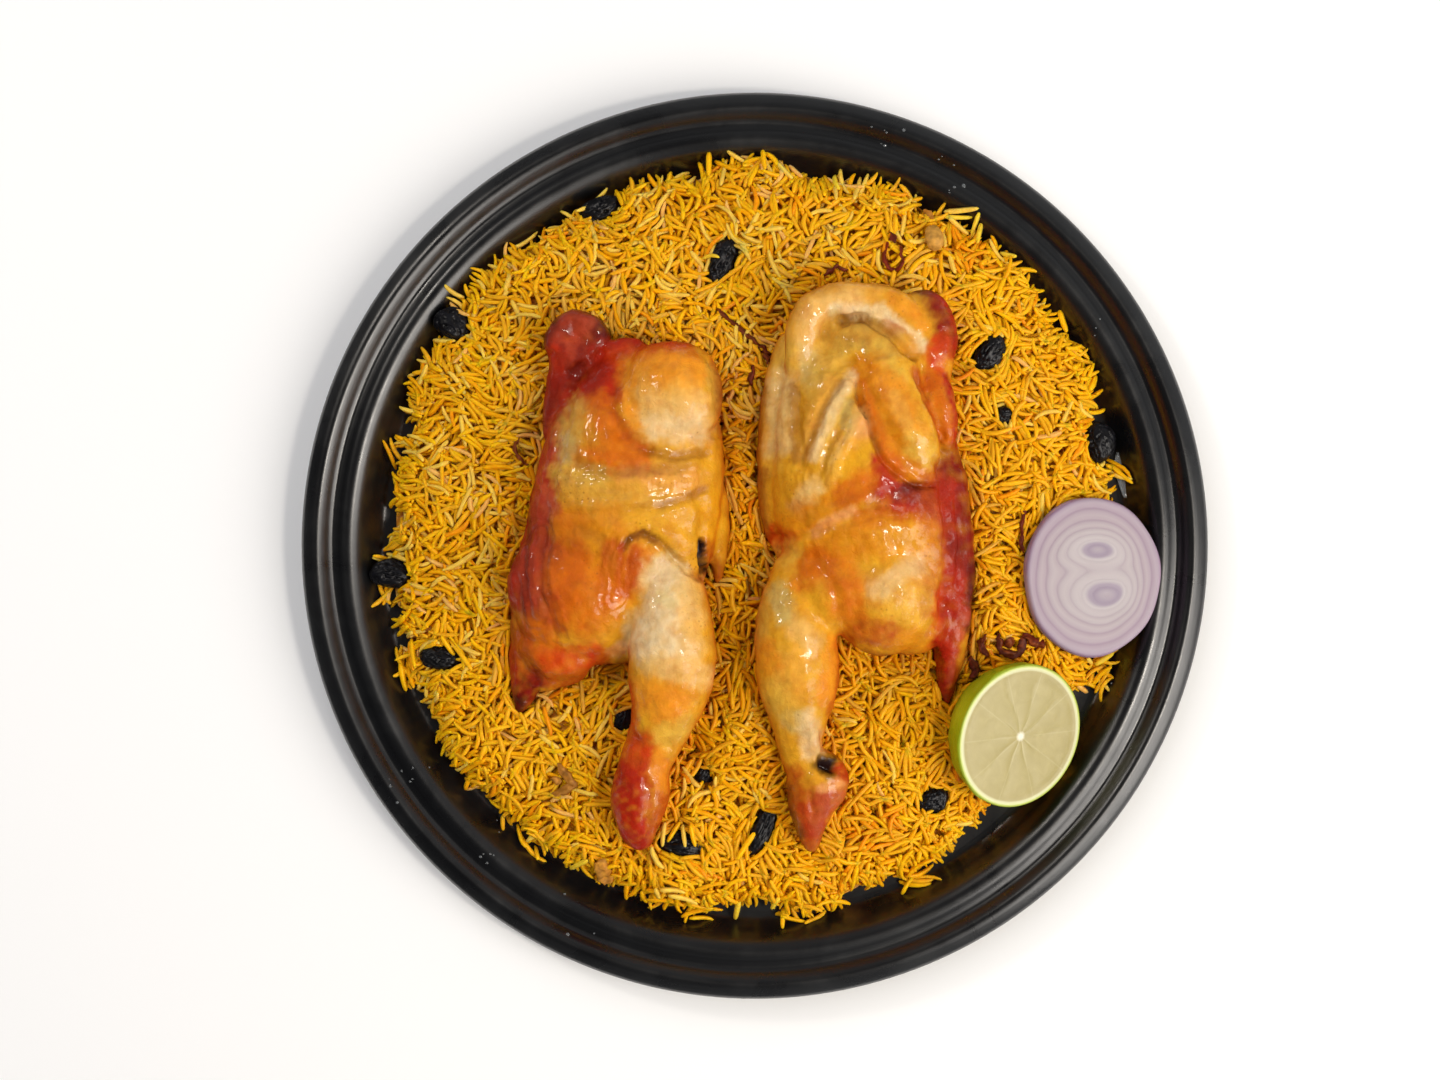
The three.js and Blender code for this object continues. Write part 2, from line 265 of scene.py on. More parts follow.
view = {
    "height": 918,       # mm above the table, straight over the plate
    "focalPixels": 2300,
    "frame": (1440, 1080),
    "plateAt": (34.7, 5.7),  # pixels from the frame's middle to the plate's, right and down
}
camera = bpy.data.cameras.new("camera")
camera.sensor_width = 36
camera.lens = view["focalPixels"] / view["frame"][0] * camera.sensor_width
camera.shift_x = -view["plateAt"][0] / view["frame"][0]
camera.shift_y = view["plateAt"][1] / view["frame"][0]
camera.clip_start = 0.01
cameraObject = bpy.data.objects.new("camera", camera)
cameraObject.location = (0, 0, view["height"] * mm)
bpy.context.scene.collection.objects.link(cameraObject)
bpy.context.scene.camera = cameraObject
bpy.context.scene.view_settings.view_transform = "Standard"

lamps = {  # place in metres, diameter in metres, watts, colour and whether it shows in gloss
    "windowLight": ((1.05, -0.56, 0.95), 1.22, 17.4, "#fff9f2", True),
    "ceilingLamp": ((0.62, -0.2, 1.2), 0.18, 4.6, "#fff6ea", True),
    "backLamp": ((-0.78, 0.6, 1.0), 0.15, 2.4, "#fff8ee", True),
    "skyFill": ((-0.7, 0.6, 1.3), 1.9, 14.6, "#fafaff", False),
}
for name, (place, diameter, power, colour, inGloss) in lamps.items():
    light = bpy.data.lights.new(name, "AREA")
    light.shape = "DISK"
    light.size = diameter
    light.energy = power
    light.color = linear(colour)[:3]
    lightObject = bpy.data.objects.new(name, light)
    lightObject.location = place
    lightObject.visible_glossy = inGloss
    lightObject.rotation_euler = (-Vector(place)).to_track_quat("-Z", "Y").to_euler()
    bpy.context.scene.collection.objects.link(lightObject)

world = bpy.data.worlds.new("studio")
bpy.context.scene.world = world
world.use_nodes = True
# The room is brightest towards the window on the right, dimmer to the left and darkest overhead.
tree = world.node_tree
roomSide = addNode(tree, "ShaderNodeTexCoord")
towardsWindow = addNode(tree, "ShaderNodeVectorMath", {
    0: roomSide.outputs["Generated"], 1: (0.5, 0.1, -0.75)}, operation="DOT_PRODUCT")
roomGlow = addRange(tree, towardsWindow.outputs["Value"], -0.75, 0.6, 0.05, 0.6)
background = tree.nodes["Background"]
background.inputs["Color"].default_value = linear("#f5f6f7")
tree.links.new(roomGlow, background.inputs["Strength"])

floorMaterial, tree = newMaterial("matt white paper")  # even and pale, so nothing competes with the dish
finishMaterial(tree, {"Base Color": linear("#f7f7f6"), "Roughness": 0.9})
bm = bmesh.new()
bmesh.ops.create_grid(bm, x_segments=1, y_segments=1, size=3000)
floor = bpy.data.objects.new("table", meshFrom(bm, "table"))
floor.data.materials.append(floorMaterial)
bpy.context.scene.collection.objects.link(floor)
print("stage set")


# Plate

plate = {
    "floorTop": 4.5,
    "steps": 224, "pointsPerSpan": 6,
    # radius and height from the flat floor over the wall, the groove and the rolled rim
    "top": [(145, 4.5), (148, 5.3), (150.6, 7.8), (152.8, 11.2), (155, 14.2), (157.2, 16), (159.4, 16.8),
            (161.6, 16.6), (163.8, 15.5), (165.6, 15), (167.1, 15.7), (168.6, 17.2), (170.2, 18.5),
            (171.6, 19), (173, 18.8), (174.4, 18.2), (175.9, 17.4), (177, 16.6), (177.8, 15.4), (178, 14.2)],
    "under": [(177.6, 13), (176.6, 12.2), (175.2, 12.3), (173, 13.8), (170.6, 14.6), (167.6, 13.2),
              (165, 11.4), (160.4, 11.6), (157.8, 9.6), (155.4, 6), (153, 2.8), (151, 1.9), (149, 1.6),
              (127.5, 1.6), (126.4, 1.3), (126, 0.4), (125.4, 0), (118.6, 0), (118, 0.4), (117.6, 1.3),
              (116.5, 1.6), (60, 1.6), (0, 1.6)],
}
plateProfile = [(0, plate["floorTop"]), (60, plate["floorTop"]), (120, plate["floorTop"])]
spans = (len(plate["top"]) - 1) * plate["pointsPerSpan"]
plateProfile += [tuple(splineAt(plate["top"], i / spans)) for i in range(spans + 1)]


def plateTop(radius):
    # height of the plate's upper surface at a radius
    return np.interp(radius, *zip(*plateProfile))


def spinProfile(profile, steps):
    # turns (radius, height) points into a closed round body
    bm = bmesh.new()
    row = [bm.verts.new((r, 0, z)) for r, z in profile]
    edges = [bm.edges.new(pair) for pair in zip(row[:-1], row[1:])]
    bmesh.ops.spin(bm, geom=row + edges, axis=(0, 0, 1), cent=(0, 0, 0), steps=steps, angle=2 * math.pi,
                   use_merge=True)
    bmesh.ops.remove_doubles(bm, verts=bm.verts, dist=1e-4)
    bmesh.ops.recalc_face_normals(bm, faces=bm.faces)
    return bm


# Moulded melamine, black all through: dark and satin, so the eye sees it mainly by the bright lines that
# the lamp draws round the rim, broken by wiped smears and a little grease.
melamine, tree = newMaterial("black moulded melamine")
spot = addSpot(tree)
smear = addNoise(tree, spot, 28, 5, 0.6, 1.2)
finishMaterial(tree, {
    "Base Color": addRamp(tree, smear, [(0.3, "#060608"), (0.75, "#0e0f11")]),
    "Roughness": addRange(tree, smear, 0.35, 0.7, 0.25, 0.38), "IOR": 1.55, "Specular IOR Level": 0.76,
    "Normal": addBump(tree, addNoise(tree, spot, 900), 0.06, 0.0002)})
plateMesh = meshFrom(spinProfile(plateProfile + plate["under"], plate["steps"]), "plate")
newPiece("plate_body", plateMesh, [melamine], "plate", "plate")

wetSpots = {  # drops left on the rim after wiping
    # x, y, how many and how far they scatter
    "clusters": [(-102.4, -122, 7, 3.5), (-136.8, -91, 9, 4), (49.4, 161.5, 5, 4), (81, 142, 5, 5),
                 (134.2, 85.8, 3, 3), (136.2, -53.4, 3, 3), (68, 152, 3, 6), (-66, -146, 3, 5)],
    "rim": (148, 175),       # they lie between these radii
    "radius": (0.35, 0.95),
    "seed": 8,
    "smear": [(144, 37, 1.2), (145, 32, 2.2), (146.2, 26, 2.4), (147, 19, 1.2)],  # x, y and half width
}
water, tree = newMaterial("water drop")  # clear, so the eye sees only its small sharp glint and dark edge
finishMaterial(tree, {"Base Color": linear("#dfe4e6"), "Roughness": 0.08, "IOR": 1.33,
                      "Transmission Weight": 0.85})
draw = random.Random(wetSpots["seed"])
bm = bmesh.new()
for x, y, count, scatter in wetSpots["clusters"]:
    for _ in range(count):
        dropX, dropY = x + draw.gauss(0, scatter), y + draw.gauss(0, scatter)
        size = draw.uniform(*wetSpots["radius"]) * draw.uniform(0.5, 1)
        away = math.hypot(dropX, dropY)
        if wetSpots["rim"][0] < away < wetSpots["rim"][1]:
            shape = Matrix.Diagonal((1, draw.uniform(0.7, 1.2), 0.5, 1))
            place = Matrix.Translation((dropX, dropY, plateTop(away))) @ shape
            bmesh.ops.create_uvsphere(bm, u_segments=14, v_segments=9, radius=size, matrix=place)
smearLine = [(x, y, plateTop(math.hypot(x, y)) + 0.1, half, 0.35) for x, y, half in wetSpots["smear"]]
addLimb(bm, smearLine, sides=16)
newPiece("water_drops", meshFrom(bm, "water_drops"), [water], "plate")
print("plate spun")


# Chickens

leftHalf = {
    "limbs": {
        "body": [(-43, 77, 35, 24, 12), (-44, 55, 37, 33, 19.5), (-47, 28, 37.5, 36, 22),
                 (-52, 0, 36, 36, 21), (-57, -26, 34, 32, 18), (-59, -45, 31, 24, 12)],
        "wingStump": [(-31, 77, 41, 18, 12), (-31.5, 56, 45, 19.5, 15), (-33, 36, 42, 17, 11)],
        "neck": [(-69, 90, 34, 10, 8), (-68.5, 80, 35, 13.4, 10.5), (-69.5, 67, 34, 9.5, 9),
                 (-73, 50, 32.5, 8.5, 9), (-76, 36, 31, 8, 8)],
        "neckBump": [(-58, 72, 37, 5, 5), (-50, 76, 37, 4, 4), (-42, 77, 37, 3, 3)],
        "back": [(-71, 58, 30, 7, 10), (-76.5, 26, 30, 9, 12), (-81.5, -4, 29, 9, 12),
                 (-86, -28, 27, 8.5, 11), (-87, -44, 26, 8.5, 9.5), (-89.5, -57, 25.5, 6, 6),
                 (-92, -66, 24, 2.5, 3)],
        "flank": [(-90, -38, 31, 9, 11), (-76, -40, 33, 12.5, 12.5), (-58, -34, 34, 10, 12)],
        "tailWeb": [(-91, -46, 28, 5, 7), (-84, -50.5, 28, 6, 7), (-75, -49, 30, 6, 8), (-64, -46, 31, 6, 8)],
        "thigh": [(-62, 10, 37, 25, 14), (-66.5, -18, 39, 27.5, 17), (-70, -44, 34, 22, 12)],
        "drumstick": [(-38, 4, 39, 10, 9), (-33.5, -12, 42, 15.5, 14), (-31.5, -32, 43.5, 17.5, 15.5),
                      (-32, -52, 41.5, 16.5, 14.5), (-36, -69, 38.5, 11.8, 11), (-41.5, -82, 36, 10.3, 9.5),
                      (-44.3, -97, 35, 12.2, 10.5), (-44.8, -108, 34, 10.5, 9.5), (-44, -117, 32.5, 8, 7)],
        "breastEdge": [(-22, 38, 31, 8, 11), (-17, 18, 31, 7, 10), (-14.5, 2, 29.5, 5, 7),
                       (-14, -16, 27, 2.5, 3.5)],
    },
    # skin folds and pits: (height, reach, line in plan)
    "relief": [
        (-4.5, 8, [(-68, 79)]),                                      # hollow end of the neck
        (1.6, 4, [(-78, 76), (-76, 84), (-69, 88), (-60, 85), (-57, 77)]),
        (-2.5, 4, [(-70, 66), (-66, 68)]),
        (1.2, 4, [(-78, 64), (-81, 50), (-85, 34), (-89, 12), (-92, -9), (-94, -24)]),  # rim of the back
        (-1.3, 4, [(-70, 60), (-73, 42), (-77, 22), (-80, 2), (-80, -20), (-74, -34)]),
        (-1.5, 3.6, [(-50, 66), (-54, 53), (-52, 46), (-47, 39), (-40, 35.5)]),  # wing joint
        (-1.0, 2.6, [(-40, 35), (-30, 33.5), (-18, 35)]),
        (-1.0, 2.5, [(-16, 70), (-14, 58), (-14, 42)]),
        (1.0, 3.5, [(-72, 24), (-60, 23), (-46, 25), (-30, 25)]),    # folds over the breast
        (-0.6, 2.4, [(-46, 13), (-35, 14), (-25, 17), (-18, 21)]),
        (-0.9, 3, [(-72, 32), (-60, 29), (-48, 28), (-36, 29)]),
        (0.8, 3, [(-72, 14), (-60, 15), (-46, 17)]),
        (-1.2, 4, [(-19, 32), (-20.5, 22), (-18.5, 12), (-21, 4)]),  # breast edge
        (-1.2, 2.1, [(-50, -1), (-46, 3), (-41.5, 4.2), (-36.5, 2), (-30, -4), (-21, -12.5)]),  # knee fold
        (0.7, 5, [(-55, 6), (-44, 9), (-33, 5), (-25, -1)]),
        (-3.0, 2.2, [(-20, 1), (-19.8, -4), (-18.8, -10)]),          # gap beside the knee
        (-0.8, 4, [(-54, -42), (-50, -36), (-48, -26), (-47, -18)]),
        (0.9, 4, [(-80, -47), (-70, -48), (-60, -44)]),
        (-1.5, 4, [(-84, -50), (-88, -44)]),
        (-1.0, 4, [(-46, -74), (-40, -78), (-33, -76)]),
        (-0.8, 3, [(-41, -88), (-40, -100), (-41, -110)]),
    ],
    # fine wrinkles side by side along a line: (height, spacing, reach, line)
    "wrinkles": [
        (0.35, 3.4, 10, [(-83, 4), (-84, -12), (-82, -26)]),
        (0.2, 2.7, 10, [(-52, -20), (-53, -8), (-50, 2), (-43, 7)]),
        (0.16, 2.4, 12, [(-70, 24), (-46, 22), (-24, 24)]),
        (0.2, 2.6, 8, [(-78, -20), (-73, -34)]),
        (0.25, 2.8, 9, [(-88, -58), (-84, -52)]),
        (0.22, 3.0, 8, [(-76, 46), (-80, 26)]),
    ],
    # where fat stands on the skin: (share, reach, line), and where the skin is dull: (reach, line)
    "wet": [(0.55, 13, [(-70, 28), (-48, 22), (-30, 24)]), (0.6, 9, [(-60, -18), (-50, -27)]),
            (0.3, 6, [(-84, 0), (-82, -26)]), (0.4, 6, [(-42, -35)]), (0.6, 5, [(-48, 59)]),
            (0.45, 6, [(-66, 74)]), (0.5, 3, [(-41, -96)]), (0.5, 8, [(-70, 40), (-62, 44)]),
            (0.4, 5, [(-44, 38), (-30, 36)])],
    "dry": [(8, [(-70, -8), (-72, -40), (-58, -46)])],
    "baseColour": "gold",
    # (colour, reach, strength, line in plan), laid on in this order
    "paint": [
        ("amber", 18, 0.6, [(-60, 10), (-62, -20)]), ("rust", 9, 0.6, [(-71, 34), (-69, 8), (-70, -18)]),
        ("crimson", 12, 0.95, [(-70, 84), (-76, 64), (-79, 50), (-83, 36), (-86, 20), (-89, 2), (-91, -16)]),
        ("wine", 5.5, 0.85, [(-80, 66), (-84, 48), (-89, 22), (-93, 2), (-96, -16), (-96, -34), (-95, -50)]),
        ("wine", 12, 0.8, [(-84, 6), (-82, -8), (-81, -20), (-79, -26)]),
        ("crimson", 7, 0.6, [(-75, 24), (-72, -2), (-72, -20)]),
        ("rust", 4, 0.7, [(-69, 8), (-67, -6), (-69, -20), (-74, -30)]),
        ("brick", 10, 0.55, [(-84, 10), (-83, -8), (-81, -26)]),
        ("maroon", 1.3, 0.4, [(-78, 14), (-76, 2), (-78, -10), (-77, -20)]),
        ("maroon", 1.4, 0.45, [(-86, 10), (-86, -8), (-87, -26)]),
        ("maroon", 8, 0.95, [(-79, 80), (-77, 86), (-69, 89), (-59, 86), (-55, 77)]),
        ("wine", 7, 0.85, [(-62, 72), (-70, 72)]), ("rose", 6, 0.75, [(-68, 77), (-66, 81)]),
        ("brick", 8, 0.6, [(-70, 84), (-71, 66), (-77, 48), (-82, 30)]),
        ("maroon", 1.8, 0.6, [(-66, 74), (-68, 62), (-74, 48)]),
        ("maroon", 1.5, 0.5, [(-73, 76), (-76, 60), (-82, 40)]), ("char", 3.5, 0.7, [(-70, 66), (-67, 67)]),
        ("crimson", 5, 0.7, [(-76, 73), (-76, 64)]),
        ("wine", 10, 0.85, [(-60, 72), (-58, 66), (-66, 62), (-72, 60)]),
        ("crimson", 6, 0.8, [(-54, 70), (-54, 62), (-61, 57), (-70, 54)]),
        ("crimson", 7, 0.9, [(-57, 70), (-56, 60), (-63, 57)]), ("wine", 4, 0.6, [(-60, 68), (-61, 60)]),
        ("rust", 3, 0.7, [(-51, 66), (-51.5, 56), (-60, 52), (-68, 49)]),
        ("maroon", 4, 0.8, [(-56, 78), (-47, 80), (-40, 79)]),
        ("crimson", 5, 0.9, [(-56, 75), (-48, 77), (-38, 77), (-27, 76)]),
        ("scarlet", 5, 0.85, [(-52, 72), (-43, 73), (-33, 74)]),
        ("orange", 5, 0.7, [(-48, 69), (-36, 72), (-24, 71)]),
        ("apricot", 9, 0.95, [(-43, 63), (-34, 66), (-25, 64)]),
        ("peach", 8, 0.8, [(-41, 57), (-33, 55), (-25, 57)]),
        ("cream", 9, 0.9, [(-39, 50), (-31, 50), (-23, 50)]),
        ("parchment", 7, 0.6, [(-36, 44), (-29, 43), (-22, 44)]),
        ("apricot", 4, 0.85, [(-47, 62), (-47.5, 53), (-45, 45)]),
        ("olive", 3, 0.6, [(-16, 68), (-14, 58), (-14, 44)]), ("umber", 2.4, 0.7, [(-12.5, 66), (-12, 50)]),
        ("rust", 4.5, 0.85, [(-55, 54), (-53, 46), (-48, 40), (-42, 36)]),
        # painted shade: the umber line under the wing stump's lower edge
        ("umber", 2.6, 0.6, [(-42, 35), (-30, 33.5), (-18, 35)]), ("olive", 7, 0.8, [(-67, 51), (-70, 43)]),
        ("sage", 5, 0.55, [(-70, 38), (-71, 34)]), ("amber", 7, 0.8, [(-60, 46), (-57, 40)]),
        ("orange", 6, 0.85, [(-58, 53), (-55, 44), (-49, 35)]),
        ("orange", 6, 0.9, [(-60, 33), (-53, 31), (-43, 31)]),
        ("straw", 6, 0.75, [(-73, 27), (-66, 25), (-58, 25)]),
        ("flesh", 7, 0.4, [(-46, 24), (-34, 25), (-24, 24)]),
        ("peach", 2.2, 0.5, [(-72, 22), (-60, 20), (-46, 22), (-30, 20)]),
        ("gold", 6, 0.7, [(-70, 17), (-60, 17), (-46, 19)]),
        ("olive", 9, 0.5, [(-64, 22), (-50, 14), (-38, 14)]),
        ("umber", 3, 0.4, [(-66, 31), (-56, 27), (-40, 28), (-26, 30)]),
        ("umber", 2.5, 0.6, [(-44, 14), (-35, 15), (-25, 18), (-19, 21)]),
        # painted highlight: the rose patch where the red back strip meets the breast
        ("rose", 4.5, 0.6, [(-79, 20), (-77, 14)]), ("amber", 9, 0.6, [(-70, 7), (-60, 8), (-50, 8)]),
        ("umber", 3, 0.35, [(-66, 6), (-56, 2), (-52, -8)]),
        ("gold", 7, 0.7, [(-44, 11), (-34, 9), (-25, 11)]),
        ("saffron", 5, 0.55, [(-15, 18), (-15, 10), (-14, 2)]),
        ("rust", 3, 0.6, [(-18, 0), (-15, -8), (-14, -15)]),
        ("brown", 2, 0.7, [(-50, -1), (-46, 3), (-41.5, 4.2), (-37.5, 2.6)]),
        ("umber", 1.8, 0.6, [(-37.5, 2.6), (-30, -4), (-21, -12.5)]),
        # painted shadow: near-black down the gap beside the knee
        ("char", 1.9, 0.95, [(-20, 1), (-19.8, -4), (-18.8, -10)]),
        ("rust", 4, 0.7, [(-56, -20), (-56, -8), (-53, 0)]),
        ("orange", 6, 0.8, [(-48, -16), (-48, -7), (-42, -3)]),
        ("rust", 3.6, 0.85, [(-45, -3), (-46, -10), (-49, -18)]),
        ("crimson", 1.6, 0.5, [(-50, 0), (-51, -10), (-52, -18)]),
        ("orange", 13, 0.75, [(-66, -24), (-58, -18), (-70, -12)]),
        ("orange", 9, 0.85, [(-84, -34), (-80, -40)]),
        ("scarlet", 7, 0.8, [(-78, -44), (-68, -44), (-61, -42)]),
        ("rust", 6, 0.85, [(-89, -34), (-88, -44), (-84, -50)]),
        ("rust", 4, 0.85, [(-84, -50), (-74, -52), (-65, -50), (-58, -45)]),
        ("wine", 7, 0.9, [(-93, -60), (-87, -54), (-89, -64)]),
        ("char", 3.4, 0.7, [(-91, -60), (-93, -66)]), ("crimson", 3.5, 0.7, [(-95, -40), (-94, -52)]),
        ("flesh", 3, 0.8, [(-54, -41), (-50, -39)]), ("sage", 9, 0.6, [(-33, -10), (-31, -17)]),
        ("parchment", 10, 0.9, [(-34, -13), (-33, -24), (-37, -30), (-41, -36), (-32, -38)]),
        ("cream", 6, 0.6, [(-24, -14), (-23, -26), (-23, -38)]),
        ("sage", 3.4, 0.4, [(-31, -22), (-36, -19)]),
        ("gold", 4, 0.8, [(-16, -20), (-14, -35), (-15, -47)]),
        ("cream", 6, 0.8, [(-38, -45), (-26, -47), (-19, -50)]),
        ("apricot", 9, 0.9, [(-42, -56), (-30, -59), (-33, -62)]),
        ("scarlet", 3.5, 0.8, [(-48, -54), (-47, -66), (-47, -76)]),
        ("straw", 6, 0.7, [(-34, -72), (-26, -68)]), ("scarlet", 8, 0.9, [(-43, -77), (-46, -85)]),
        ("crimson", 11, 0.97, [(-48, -90), (-48, -101), (-46, -113)]),
        # painted highlight: the rose streak on the shank, beside real wet gloss
        ("rose", 2.6, 0.5, [(-41, -93), (-41, -99)]),
        ("rust", 4, 0.85, [(-36, -84), (-34.5, -96), (-37, -108)]),
        ("apricot", 4, 0.8, [(-36, -80), (-35, -92)]),
    ],
}
